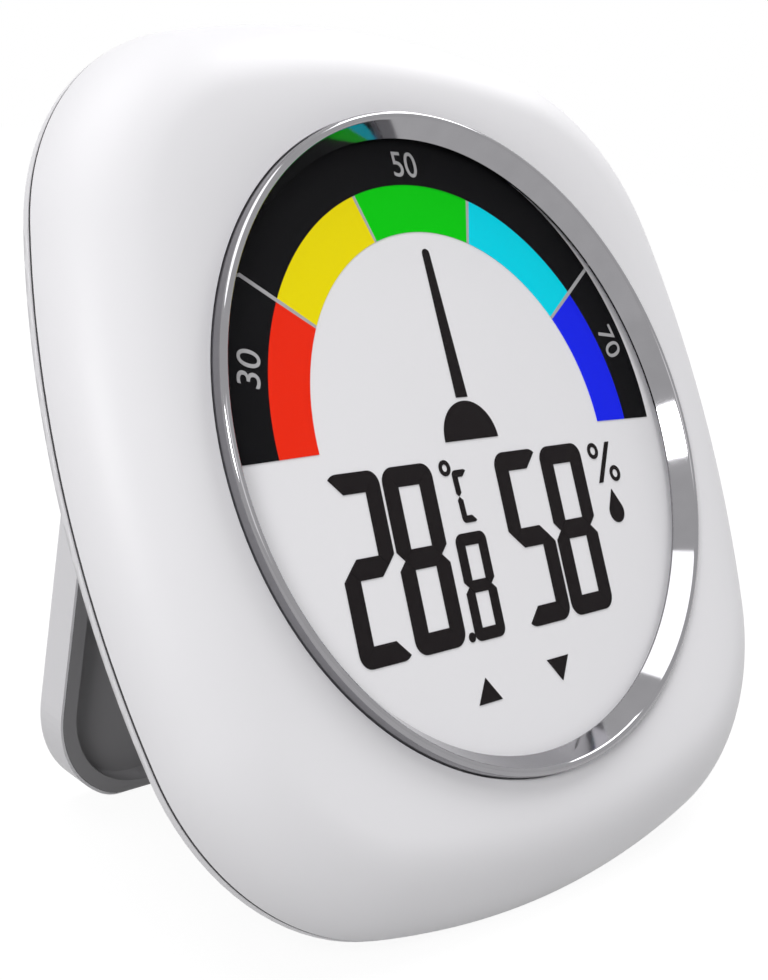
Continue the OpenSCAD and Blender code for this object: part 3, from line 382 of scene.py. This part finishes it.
def soften(piece, width_mm, segments=2):
    """Rounds a piece's sharp edges and evens out the shading of its large faces."""
    bevel = piece.modifiers.new("soft_edges", "BEVEL")
    bevel.width = width_mm * MM
    bevel.segments = segments
    bevel.limit_method = "ANGLE"
    bevel.angle_limit = math.radians(BEVEL_ANGLE)
    bevel.harden_normals = True
    return piece


def even_shading(piece):
    """Shades a piece by its large faces, and its faces square to the dial by themselves alone."""
    square_on = 0.9999
    outward = (FACE.to_3x3() @ Vector((0, 0, 1))).normalized()
    marks = piece.data.attributes.new(FACE_MARK, "INT", "FACE")
    for face in piece.data.polygons:
        square = abs(face.normal.dot(outward)) > square_on
        marks.data[face.index].value = STRONG_FACE if square else 0
    weighted = piece.modifiers.new("even_shading", "WEIGHTED_NORMAL")
    weighted.keep_sharp = True
    weighted.use_face_influence = True
    weighted.weight = FACE_WEIGHT
    return piece


# Case shells


def front_shell():
    lip = 0.12
    start = math.atan2(lip - EDGE_Z, math.sqrt(EDGE_R ** 2 - (lip - EDGE_Z) ** 2))
    steps = range(EDGE_STEPS + 1)
    angles = [start + (math.pi / 2 - start) * i / EDGE_STEPS for i in steps]
    inner_r = EDGE_R - WALL
    inner_start = math.asin(-EDGE_Z / inner_r)
    inner = [math.pi / 2 + (inner_start - math.pi / 2) * i / EDGE_STEPS for i in steps]
    outer_rings = [
        case_ring(EDGE_X + EDGE_R * math.cos(a), EDGE_Z + EDGE_R * math.sin(a)) for a in angles
    ]
    like = outer_rings[-1]
    soft = 0.15
    mid_soft = soft * 0.3
    window = [
        (SEAT_R + soft, FRONT_H), (SEAT_R + mid_soft, FRONT_H - mid_soft), (SEAT_R, FRONT_H - soft),
        (SEAT_R, RING_SEAT), (WINDOW_R, RING_SEAT), (WINDOW_R, LCD_FRONT),
        (CELL_SEAT_R, LCD_FRONT), (CELL_SEAT_R, FRONT_H - WALL)]
    rings = [case_ring(CORNER_R - lip, 0)] + outer_rings
    rings += [round_ring(radius, w, like) for radius, w in window]
    rings += [case_ring(EDGE_X + inner_r * math.cos(a), EDGE_Z + inner_r * math.sin(a)) for a in inner]
    return make_piece("front_shell_moulding", loft(rings), "white_abs", "housing", "front_shell")


def case_side(spot):
    """How far out a point lies from the corner centres, and which way is out there."""
    across, along = abs(spot.x), abs(spot.y)
    from_corner = Vector((across - CORNER_C, along - CORNER_C))
    tilt = math.atan2(from_corner.y, from_corner.x)
    if MEET_ANGLE < tilt < math.pi / 2 - MEET_ANGLE:
        out, less = from_corner, 0
    elif across > along:
        out, less = Vector((across - SIDE_C, along)), ARC_GAP
    else:
        out, less = Vector((across, along - SIDE_C)), ARC_GAP
    way = out.normalized()
    signed = Vector((math.copysign(way.x, spot.x), math.copysign(way.y, spot.y), 0))
    return out.length - less, signed


def rear_reach(w):
    """How far out the rear shell's skin lies at a level: an upright rim, a slope and a round back edge."""
    slope = (REAR_D - RIM_H) / REAR_INSET
    tangent = BACK_EDGE_R * math.tan(math.atan(slope) / 2)
    centre_x = CORNER_R - REAR_INSET - tangent
    centre_w = BACK_EDGE_R - REAR_D
    touch_w = centre_w - BACK_EDGE_R / math.hypot(1, slope)
    if w > -RIM_H:
        return CORNER_R
    if w > touch_w:
        return CORNER_R + (w + RIM_H) / slope
    return centre_x + math.sqrt(max(BACK_EDGE_R ** 2 - (w - centre_w) ** 2, 0))


def refine_skin(bm, longest, passes):
    """Splits long edges of the rear shell's outer skin and puts the new corners on the true surface."""
    to_face = FACE.inverted()
    slack = 0.03
    foot_level = 0.02 * MM

    def on_skin(vert):
        spot = to_face @ vert.co
        level = -REAR_D + slack < spot.z < -SEAM_H + slack
        return level and vert.co.z > foot_level and abs(case_side(spot)[0] - rear_reach(spot.z)) < slack

    skin = {vert for vert in bm.verts if on_skin(vert)}
    for _ in range(passes):
        long_edges = [
            edge for edge in bm.edges
            if edge.calc_length() > longest * MM and edge.verts[0] in skin and edge.verts[1] in skin]
        split = bmesh.ops.subdivide_edges(bm, edges=long_edges, cuts=1)
        fresh = [item for item in split["geom_inner"] if isinstance(item, bmesh.types.BMVert)]
        for vert in fresh:
            spot = to_face @ vert.co
            reach, way = case_side(spot)
            vert.co = FACE @ (spot + way * (rear_reach(spot.z) - reach))
        skin.update(fresh)
        bmesh.ops.triangulate(bm, faces=[face for face in bm.faces if len(face.verts) > 3])


def rear_shell():
    bm = merged_copy("rear_shell")
    refine_skin(bm, longest=2, passes=5)
    piece = make_piece(
        "rear_shell_moulding", bm, "white_abs", "housing", "rear_shell", place=Matrix.Identity(4), sharp=20)
    return even_shading(piece)


def painted_groove_shadow():
    """Dark strip that fills the groove between the two shells and draws the parting line: painted shade,
    standing in for the groove's shadow.
    """
    inset, reach_in = 0.08, 0.02
    outer = CORNER_R - inset
    inner = CORNER_R - SEAM_W + reach_in
    high, low = -reach_in, reach_in - SEAM_H
    rings = [case_ring(inner, high), case_ring(outer, high), case_ring(outer, low), case_ring(inner, low)]
    # The strip's dark colour is painted shade for the parting groove
    return make_piece("painted_groove_shadow", loft(rings), "grey_liner_abs", "housing", finish="groove_shade_paint")


def bezel_ring():
    crest = Vector((RING_R - RING_CREST_R, FRONT_H + RING_RISE - RING_CREST_R))
    low = Vector((RING_IN_R, RING_SEAT + RING_LIP))
    to_crest = crest - low
    slope = math.atan2(to_crest.y, to_crest.x) + math.asin(RING_CREST_R / to_crest.length)
    crest_steps = 24
    support = 0.04
    profile = [(RING_IN_R, RING_SEAT), (RING_R, RING_SEAT)]
    for i in range(crest_steps + 1):
        angle = (slope + math.pi / 2) * i / crest_steps
        profile.append((crest.x + RING_CREST_R * math.cos(angle), crest.y + RING_CREST_R * math.sin(angle)))
    edge = Vector(profile[-1])
    profile.append(tuple(edge.lerp(low, support)))
    profile.append(tuple(low))
    turn = [2 * math.pi * i / RING_STEPS for i in range(RING_STEPS)]
    rings = [[polar(radius, a, w) for a in turn] for radius, w in profile]
    return make_piece("bezel_ring_plated", loft(rings), "chrome_plate", "housing", "bezel_ring", sharp=25)


# Display figures

DIGIT = (7.3, 18.9, 2.1)
SMALL_DIGIT = (4.7, 11.1, 1.3)
UNIT_SIGN = (2.3, 5.6, 0.75)
DIGIT_TOP = 2.5
# The digits slant a little, about the line of their tops
SLANT = 0.05
ROUND_STEPS = 5
DROP_STEPS = 32
TIP_STEPS = 10
HUB_STEPS = 48
# Lit segments, from the top clockwise and then the middle bar
TWO = "ABGED"
FIVE = "AFGCD"
EIGHT = "ABCDEFG"
LETTER_C = "AFED"


def figure_shapes(size, lit):
    """Outlines of a seven-segment figure with round outer corners, standing on its lower left corner."""
    w, h, s = size
    r = s * 0.75
    gap = 0.03
    mid = h / 2
    nip = s * 0.45

    def corner(first, last):
        """Points round the top left outer corner between two angles."""
        steps = range(ROUND_STEPS + 1)
        angles = [first + (last - first) * i / ROUND_STEPS for i in steps]
        return [(r + r * math.cos(a), h - r + r * math.sin(a)) for a in angles]

    diagonal = 0.75 * math.pi
    top_left = corner(math.pi / 2, diagonal)
    top = [(w - x, y) for x, y in reversed(top_left)] + top_left
    top += [(s + gap, h - s), (w - s - gap, h - s)]
    side = corner(diagonal, math.pi)
    side += [(0, mid + nip), (nip, mid + gap), (s, mid + s / 2 + gap), (s, h - s - gap)]
    bar = [
        (nip + gap, mid), (s + gap, mid - s / 2), (w - s - gap, mid - s / 2),
        (w - nip - gap, mid), (w - s - gap, mid + s / 2), (s + gap, mid + s / 2)]

    def flip(points, across, down):
        moved = [(w - x if across else x, h - y if down else y) for x, y in points]
        return moved if across == down else moved[::-1]

    segments = {
        "A": top, "B": flip(side, True, False), "C": flip(side, True, True), "D": flip(top, False, True),
        "E": flip(side, False, True), "F": side, "G": bar}
    return [segments[name] for name in lit]


def disc_shape(radius, steps=40, start=0, end=2 * math.pi):
    closed = end - start >= 2 * math.pi
    count = steps if closed else steps + 1
    return [(radius * math.cos(a), radius * math.sin(a))
            for a in [start + (end - start) * i / steps for i in range(count)]]


def ring_shapes(radius, stroke, steps=32):
    """A flat ring as two halves, so that each is a plain outline."""
    halves = []
    for start in (0, math.pi):
        outer = disc_shape(radius, steps, start, start + math.pi)
        inner = disc_shape(radius - stroke, steps, start, start + math.pi)
        halves.append(outer + inner[::-1])
    return halves


def moved(shapes, u, v):
    return [[(x + u, y + v) for x, y in shape] for shape in shapes]


def plate(shapes, thickness):
    """Thin solid plates over outlines, standing on zero."""
    bm = bmesh.new()
    for shape in shapes:
        low = [bm.verts.new((x, y, 0)) for x, y in shape]
        high = [bm.verts.new((x, y, thickness)) for x, y in shape]
        bm.faces.new(low[::-1])
        bm.faces.new(high)
        for i in range(len(shape)):
            after = (i + 1) % len(shape)
            bm.faces.new((low[i], low[after], high[after], high[i]))
    bmesh.ops.recalc_face_normals(bm, faces=bm.faces)
    return bm


def display_place():
    return FACE @ Matrix.Translation((0, DIAL_RISE, LCD_FRONT))


def slanted(shapes):
    return [[(x + SLANT * (y + DIGIT_TOP), y) for x, y in shape] for shape in shapes]


def lcd_figures():
    width, height, _ = DIGIT
    digit_gap = 0.4
    step = width + digit_gap
    low = -DIGIT_TOP - height
    left, right = -22.4, 2.5
    small_left = -6
    point_r, point_rise = 0.5, 0.6
    sign_left, sign_drop = -4.5, 1.2
    ring_r, ring_stroke = 0.85, 0.46
    percent_left, percent_w, percent_h, percent_stroke = 19, 4.8, 4.6, 0.75
    percent_drop, slash_share = 0.4, 0.28
    percent_ring_r = ring_r * 1.1
    shapes = moved(figure_shapes(DIGIT, TWO), left, low)
    shapes += moved(figure_shapes(DIGIT, EIGHT), left + step, low)
    shapes += moved(figure_shapes(DIGIT, FIVE), right, low)
    shapes += moved(figure_shapes(DIGIT, EIGHT), right + step, low)
    shapes += moved(figure_shapes(SMALL_DIGIT, EIGHT), small_left, low)
    shapes += moved([disc_shape(point_r)], small_left - point_r, low + point_rise)
    shapes = slanted(shapes)
    shapes += moved(figure_shapes(UNIT_SIGN, LETTER_C), sign_left, -DIGIT_TOP - sign_drop - UNIT_SIGN[1])
    shapes += moved(ring_shapes(ring_r, ring_stroke), sign_left - ring_r, -DIGIT_TOP - ring_r)
    # The percent sign: two rings and a slanted stroke
    percent_low = -DIGIT_TOP - percent_drop - percent_h
    upper_ring = (percent_left + ring_r, percent_low + percent_h - ring_r)
    lower_ring = (percent_left + percent_w - ring_r, percent_low + ring_r)
    for centre in (upper_ring, lower_ring):
        shapes += moved(ring_shapes(percent_ring_r, ring_stroke), *centre)
    foot, head = percent_w * slash_share, percent_w * (1 - slash_share)
    slash = [(foot - percent_stroke, 0), (foot, 0), (head + percent_stroke, percent_h), (head, percent_h)]
    shapes += moved([slash], percent_left, percent_low)
    # Arrows for the stored highest and lowest readings, and a drop for moisture
    arrow_w, arrow_h, arrow_v = 1.8, 2.5, -26.3
    up = [(-arrow_w, -arrow_h / 2), (arrow_w, -arrow_h / 2), (0, arrow_h / 2)]
    down = [(x, -y) for x, y in up[::-1]]
    up_u, down_u = -7, 4.8
    shapes += moved([up], up_u, arrow_v)
    shapes += moved([down], down_u, arrow_v)
    drop_r, drop_u, drop_v = 1.3, 21.5, -11
    touch = math.radians(30)
    belly = disc_shape(drop_r, DROP_STEPS, math.pi - touch, 2 * math.pi + touch)
    shapes += moved([belly + [(0, drop_r / math.sin(touch))]], drop_u, drop_v)
    return shapes


def needle_shapes():
    low, tip = 3.9, 20.3
    low_w, tip_w = 0.9, 0.55
    blade = [(-low_w, low), (low_w, low)]
    blade += moved([disc_shape(tip_w, TIP_STEPS, 0, math.pi)], 0, tip - tip_w)[0]
    hub_r, hub_drop = 4.2, 0.7
    return [blade] + moved([disc_shape(hub_r, HUB_STEPS, 0, math.pi)], 0, -hub_drop)


def lcd_segments():
    bm = plate(lcd_figures() + needle_shapes(), PRINT_T)
    return make_piece(
        "lcd_figures", bm, "lcd_ink", "housing", "lcd_segments", place=display_place(), sharp=PRINT_SHARP)


def band_reach(angle):
    """How far the black band reaches from the dial's centre in a direction."""
    across = BAND_EDGE_V * math.cos(angle)
    return BAND_EDGE_V * math.sin(angle) + math.sqrt(BAND_EDGE_R ** 2 - across ** 2)


def scale_band():
    steps = 64
    lines = [math.radians(a) for a in (LINE_ANGLES[0], LINE_ANGLES[-1])]
    ends = [-OVERRUN, lines[0], lines[1], math.pi + OVERRUN]
    half = ZONE_LINE / 2
    shapes = []
    for i in range(3):
        first, last = ends[i], ends[i + 1]
        low_cut = half if i > 0 else 0
        high_cut = half if i < 2 else 0
        outer, inner = [], []
        for k in range(steps + 1):
            angle = first + (last - first) * k / steps
            for row, reach in ((outer, band_reach(angle)), (inner, ZONE_OUT_R)):
                trim = low_cut / reach * (k == 0) - high_cut / reach * (k == steps)
                row.append((reach * math.cos(angle + trim), reach * math.sin(angle + trim)))
        shapes.append(outer + inner[::-1])
    bm = plate(shapes, PRINT_T)
    return make_piece(
        "scale_band_print", bm, "black_print", "housing", "scale_band", place=display_place(),
        sharp=PRINT_SHARP)


def zone_lines():
    """Pale grey lines printed in the gaps between the zones and across the band."""
    half = ZONE_LINE / 2 - 0.01
    shapes = []
    for angle_deg in LINE_ANGLES:
        angle = math.radians(angle_deg)
        crosses_band = angle_deg in (LINE_ANGLES[0], LINE_ANGLES[-1])
        end = band_reach(angle) if crosses_band else ZONE_OUT_R
        turn = Matrix.Rotation(angle, 2)
        strip = [(ZONE_IN_R, -half), (end, -half), (end, half), (ZONE_IN_R, half)]
        shapes.append([tuple(turn @ Vector(point)) for point in strip])
    bm = plate(shapes, PRINT_T * 0.9)
    return make_piece(
        "zone_line_print", bm, "black_print", "housing", place=display_place(), sharp=PRINT_SHARP,
        finish="grey_print")


def band_number(text, angle_deg):
    """A plain number printed on the black band, its head outwards."""
    curve = bpy.data.curves.new("number_" + text, "FONT")
    curve.body = text
    cap_share = 0.72
    curve.size = BAND_TEXT_H / cap_share
    curve.align_x = "CENTER"
    curve.extrude = PRINT_T / 4
    text_object = bpy.data.objects.new("number_draft", curve)
    bpy.context.scene.collection.objects.link(text_object)
    graph = bpy.context.evaluated_depsgraph_get()
    mesh = bpy.data.meshes.new_from_object(text_object.evaluated_get(graph))
    bm = bmesh.new()
    bm.from_mesh(mesh)
    bmesh.ops.remove_doubles(bm, verts=bm.verts, dist=0.001)
    bpy.data.objects.remove(text_object)
    bpy.data.meshes.remove(mesh)
    angle = math.radians(angle_deg)
    turn = Matrix.Rotation(angle - math.pi / 2, 4, "Z")
    spot = Matrix.Translation((0, BAND_TEXT_R, PRINT_T * 1.2))
    return make_piece(
        "dial_number_" + text, bm, "black_print", "housing", place=display_place() @ turn @ spot,
        sharp=PRINT_SHARP, finish="grey_print")


# Back of the case


def leg_matrix():
    """The open leg's own frame: its hinge at zero, its foot down -y and its hollow facing +z."""
    return FACE @ Matrix.Translation(HINGE) @ Matrix.Rotation(STAND_OPEN, 4, "X")


def leg_normal(to_leg, face, corner, fallback):
    """The true direction of the leg's surface at a corner of one of its faces, in the leg's frame."""
    square_on, on_round, level, alike = 0.9999, 0.02, 0.01, 0.9
    facing = (to_leg.to_3x3() @ face.normal).normalized()
    if max(abs(value) for value in facing) > square_on:
        return facing
    spot = to_leg @ corner
    for axis_y in (-STAND_LEN, 0):
        spoke = Vector((0, spot.y - axis_y, spot.z))
        way = spoke.normalized()
        if abs(spoke.length - FOOT_R) < on_round and abs(facing.x) < level and way.dot(facing) > alike:
            return way
    return (to_leg.to_3x3() @ fallback).normalized()


def leg():
    place = leg_matrix()
    to_leg = place.inverted()
    # The liner's grey is painted shade for the leg's hollow
    for node, slot in (("stand", "white_abs"), ("stand_liner", "grey_liner_abs")):
        piece = make_piece(
            node + "_moulding", merged_copy(node), slot, "stand", node, place=Matrix.Identity(4), sharp=25)
        mesh = piece.data
        corners = [normal.vector.copy() for normal in mesh.corner_normals]
        for face in mesh.polygons:
            for i in face.loop_indices:
                corner = mesh.vertices[mesh.loops[i].vertex_index].co
                true = leg_normal(to_leg, face, corner, corners[i])
                corners[i] = (place.to_3x3() @ true).normalized()
        mesh.normals_split_custom_set(corners)


DETAIL_BEVEL = 0.12


def back_details():
    for node in ("battery_door", "max_min_button", "unit_button"):
        slot = "white_abs" if node == "battery_door" else "button_abs"
        piece = make_piece(
            node + "_moulding", merged_copy(node), slot, node, node, place=Matrix.Identity(4), sharp=30)
        soften(piece, DETAIL_BEVEL)


SCREW_SIZES = {
    "Head radius": 2.1, "Head height": 1.4, "Shank radius": 1.1, "Shank length": 9,
    "Recess length": 2.5, "Recess width": 0.63, "Recess depth": 0.7}
SCREW_STEPS = 48
SHANK_STEPS = 32
# Share of the head's radius at its crown, and how far the shank's root lies inside the head
CROWN_SHARE = 0.78
ROOT_DEPTH = 0.4
SCREW_SEAT = -7
SCREW_U = 26
SCREW_V = (28.395, -29.595)


def screw_tree():
    """Pan-head screws with a cross recess: one seat on each point, and the heads down -z."""
    tree = bpy.data.node_groups.new("case_screw_set", "GeometryNodeTree")
    sockets = [("Points", "INPUT", "NodeSocketGeometry"), ("Finish", "INPUT", "NodeSocketMaterial")]
    sockets += [(name, "INPUT", "NodeSocketFloat") for name in SCREW_SIZES]
    sockets += [("Screws", "OUTPUT", "NodeSocketGeometry")]
    for name, way, kind in sockets:
        tree.interface.new_socket(name, in_out=way, socket_type=kind)
    size = add_node(tree, "NodeGroupInput").outputs
    seat_to_top = add_node(tree, "ShaderNodeMath", {0: size["Head height"], 1: -1}, operation="MULTIPLY")
    top = add_node(tree, "ShaderNodeCombineXYZ", {"Z": seat_to_top.outputs[0]})
    crown = add_node(tree, "ShaderNodeMath", {0: size["Head radius"], 1: CROWN_SHARE}, operation="MULTIPLY")
    head = add_node(tree, "GeometryNodeMeshCone", {
        "Vertices": SCREW_STEPS, "Radius Bottom": crown.outputs[0], "Radius Top": size["Head radius"],
        "Depth": size["Head height"]})
    head_placed = add_node(tree, "GeometryNodeTransform", {
        "Geometry": head.outputs["Mesh"], "Translation": top.outputs[0]})
    shank = add_node(tree, "GeometryNodeMeshCylinder", {
        "Vertices": SHANK_STEPS, "Radius": size["Shank radius"], "Depth": size["Shank length"]})
    # The shank's middle is set so that its root lies inside the head
    half = add_node(tree, "ShaderNodeMath", {
        0: size["Shank length"], 1: 0.5, 2: -ROOT_DEPTH}, operation="MULTIPLY_ADD")
    middle = add_node(tree, "ShaderNodeCombineXYZ", {"Z": half.outputs[0]})
    shank_placed = add_node(tree, "GeometryNodeTransform", {
        "Geometry": shank.outputs["Mesh"], "Translation": middle.outputs[0]})
    blank = add_node(tree, "GeometryNodeMeshBoolean", {
        "Mesh 2": [head_placed.outputs[0], shank_placed.outputs[0]]}, operation="UNION")
    depth = add_node(tree, "ShaderNodeMath", {0: size["Recess depth"], 1: 2}, operation="MULTIPLY")
    cuts = []
    for length, width in (("Recess length", "Recess width"), ("Recess width", "Recess length")):
        box_size = add_node(tree, "ShaderNodeCombineXYZ", {
            "X": size[length], "Y": size[width], "Z": depth.outputs[0]})
        box = add_node(tree, "GeometryNodeMeshCube", {"Size": box_size.outputs[0]})
        cut = add_node(tree, "GeometryNodeTransform", {
            "Geometry": box.outputs["Mesh"], "Translation": top.outputs[0]})
        cuts.append(cut.outputs[0])
    screw = add_node(tree, "GeometryNodeMeshBoolean", {
        "Mesh 1": blank.outputs["Mesh"], "Mesh 2": cuts}, operation="DIFFERENCE")
    placed = add_node(tree, "GeometryNodeInstanceOnPoints", {
        "Points": size["Points"], "Instance": screw.outputs["Mesh"]})
    real = add_node(tree, "GeometryNodeRealizeInstances", {"Geometry": placed.outputs[0]})
    finished = add_node(tree, "GeometryNodeSetMaterial", {
        "Geometry": real.outputs[0], "Material": size["Finish"]})
    add_node(tree, "NodeGroupOutput", {"Screws": finished.outputs[0]})
    return tree


def grown_mesh(tree, points, settings):
    """Runs a geometry tree on points and gives its result as a mesh."""
    seeds = bpy.data.meshes.new("seed_points")
    seeds.from_pydata(points, [], [])
    holder = bpy.data.objects.new("seed_points", seeds)
    bpy.context.scene.collection.objects.link(holder)
    grower = holder.modifiers.new("grower", "NODES")
    grower.node_group = tree
    for socket in tree.interface.items_tree:
        if socket.name in settings:
            grower[socket.identifier] = settings[socket.name]
    graph = bpy.context.evaluated_depsgraph_get()
    mesh = bpy.data.meshes.new_from_object(holder.evaluated_get(graph))
    holder.modifiers.remove(grower)
    bm = bmesh.new()
    bm.from_mesh(mesh)
    for leftover in (holder, mesh, seeds):
        bpy.data.batch_remove([leftover])
    return bm


def case_screws():
    points = [(side * SCREW_U, v, SCREW_SEAT) for side in (-1, 1) for v in SCREW_V]
    settings = {**SCREW_SIZES, "Finish": MATERIALS["zinc_steel"]}
    bm = grown_mesh(screw_tree(), points, settings)
    return make_piece("case_screw_set", bm, "zinc_steel", "housing", "case_screws")


def dress_cad_nodes():
    """Gives each CAD node that stays its real finish."""
    for entry in frame["record"]["subparts"]:
        node = frame["nodes"][entry["node"]]
        node.data.materials.clear()
        node.data.materials.append(MATERIALS[entry["material_slot"]])


# Stage, light and camera

CAMERA_PLACE = Vector((-126.3468, -112.8500, 76.8430))
CAMERA_TURN = (77.0623, -4.9085, -45.9457)
CAMERA_LENS = 58.3919
SENSOR = 36
CLIP_START = 0.005
WHITE = (1, 1, 1, 1)
FLOOR_SIZE = 3
FLOOR_DROP = 0.0001
# Share of the paper's white that is its own glow, and the glow's strength
PAPER_GLOW = 0.85
GLOW_STRENGTH = 1.08
WORLD_LIGHT = 0.27
KEY_LIGHT = 1.26
KEY_ANGLE = math.radians(44)
KEY_WAY = Vector((0.165, -0.065, -0.985))
LAMP_TARGET = Vector((0, 0, 0.04))
# Place, size in metres and power in watts. The ring mirrors the first and the last as short bright patches.
LAMPS = {
    "side_softbox": ((-0.3925, -0.215, 0.265), 0.13, 0.9),
    "fill_softbox": ((0.4, 0.02, 0.5), 0.25, 1.16),
    "front_softbox": ((-0.1, -0.5, 0.35), 0.25, 0.2),
    "small_softbox": ((0.34, 0.19, 0.37), 0.05, 0.08),
}


def plain_sight(tree):
    """One for rays that carry the background to the eye, straight, mirrored or through glass; else zero."""
    path = add_node(tree, "ShaderNodeLightPath").outputs
    seen = add_node(tree, "ShaderNodeMath", {
        0: path["Is Camera Ray"], 1: path["Is Glossy Ray"]}, operation="MAXIMUM")
    every = add_node(tree, "ShaderNodeMath", {
        0: seen.outputs[0], 1: path["Is Transmission Ray"]}, operation="MAXIMUM")
    return every.outputs[0]


def stage_material():
    """White seamless paper: pure white to the eye and to reflections, with a faint shadow of the object."""
    material, tree = new_material("white_seamless_paper")
    dim_paper = add_node(tree, "ShaderNodeBsdfDiffuse", {"Color": linear("#b0b0b0")})
    white_paper = add_node(tree, "ShaderNodeBsdfDiffuse", {"Color": linear("#f2f2f2")})
    glow = add_node(tree, "ShaderNodeEmission", {"Color": WHITE, "Strength": GLOW_STRENGTH})
    shown = add_node(tree, "ShaderNodeMixShader", {
        0: PAPER_GLOW, 1: white_paper.outputs[0], 2: glow.outputs[0]})
    paper = add_node(tree, "ShaderNodeMixShader", {
        0: plain_sight(tree), 1: dim_paper.outputs[0], 2: shown.outputs[0]})
    finish_material(tree, paper)
    return material


def floor():
    bm = bmesh.new()
    bmesh.ops.create_grid(bm, x_segments=2, y_segments=2, size=FLOOR_SIZE)
    mesh = bpy.data.meshes.new("floor")
    bm.to_mesh(mesh)
    bm.free()
    mesh.materials.append(stage_material())
    sheet = bpy.data.objects.new("floor", mesh)
    bpy.context.scene.collection.objects.link(sheet)
    sheet.location.z = -FLOOR_DROP


def world_light():
    world = bpy.data.worlds.new("white_studio")
    bpy.context.scene.world = world
    world.use_nodes = True
    tree = world.node_tree
    tree.nodes.clear()
    strength = add_node(tree, "ShaderNodeMapRange", {
        "Value": plain_sight(tree), "To Min": WORLD_LIGHT, "To Max": 1})
    sky = add_node(tree, "ShaderNodeBackground", {
        "Color": WHITE, "Strength": strength.outputs["Result"]})
    add_node(tree, "ShaderNodeOutputWorld", {"Surface": sky.outputs[0]})


def area_lamp(name, place, size, power):
    lamp = bpy.data.lights.new(name, "AREA")
    lamp.shape = "SQUARE"
    lamp.size = size
    lamp.energy = power
    holder = bpy.data.objects.new(name, lamp)
    bpy.context.scene.collection.objects.link(holder)
    holder.location = place
    holder.rotation_euler = (LAMP_TARGET - Vector(place)).to_track_quat("-Z", "Y").to_euler()


def lights():
    key = bpy.data.lights.new("key_light", "SUN")
    key.energy = KEY_LIGHT
    key.angle = KEY_ANGLE
    holder = bpy.data.objects.new("key_light", key)
    bpy.context.scene.collection.objects.link(holder)
    holder.rotation_euler = KEY_WAY.to_track_quat("-Z", "Y").to_euler()
    for name, (place, size, power) in LAMPS.items():
        area_lamp(name, place, size, power)


def camera():
    data = bpy.data.cameras.new("camera")
    data.lens = CAMERA_LENS
    data.sensor_width = SENSOR
    data.clip_start = CLIP_START
    holder = bpy.data.objects.new("camera", data)
    bpy.context.scene.collection.objects.link(holder)
    holder.location = CAMERA_PLACE * MM
    holder.rotation_euler = [math.radians(a) for a in CAMERA_TURN]
    bpy.context.scene.camera = holder


camera()
dress_cad_nodes()
front_shell()
rear_shell()
painted_groove_shadow()
bezel_ring()
lcd_segments()
scale_band()
zone_lines()
for number, number_angle in BAND_NUMBERS.items():
    band_number(number, number_angle)
leg()
back_details()
case_screws()
floor()
world_light()
lights()
bpy.context.scene.view_settings.view_transform = "Standard"
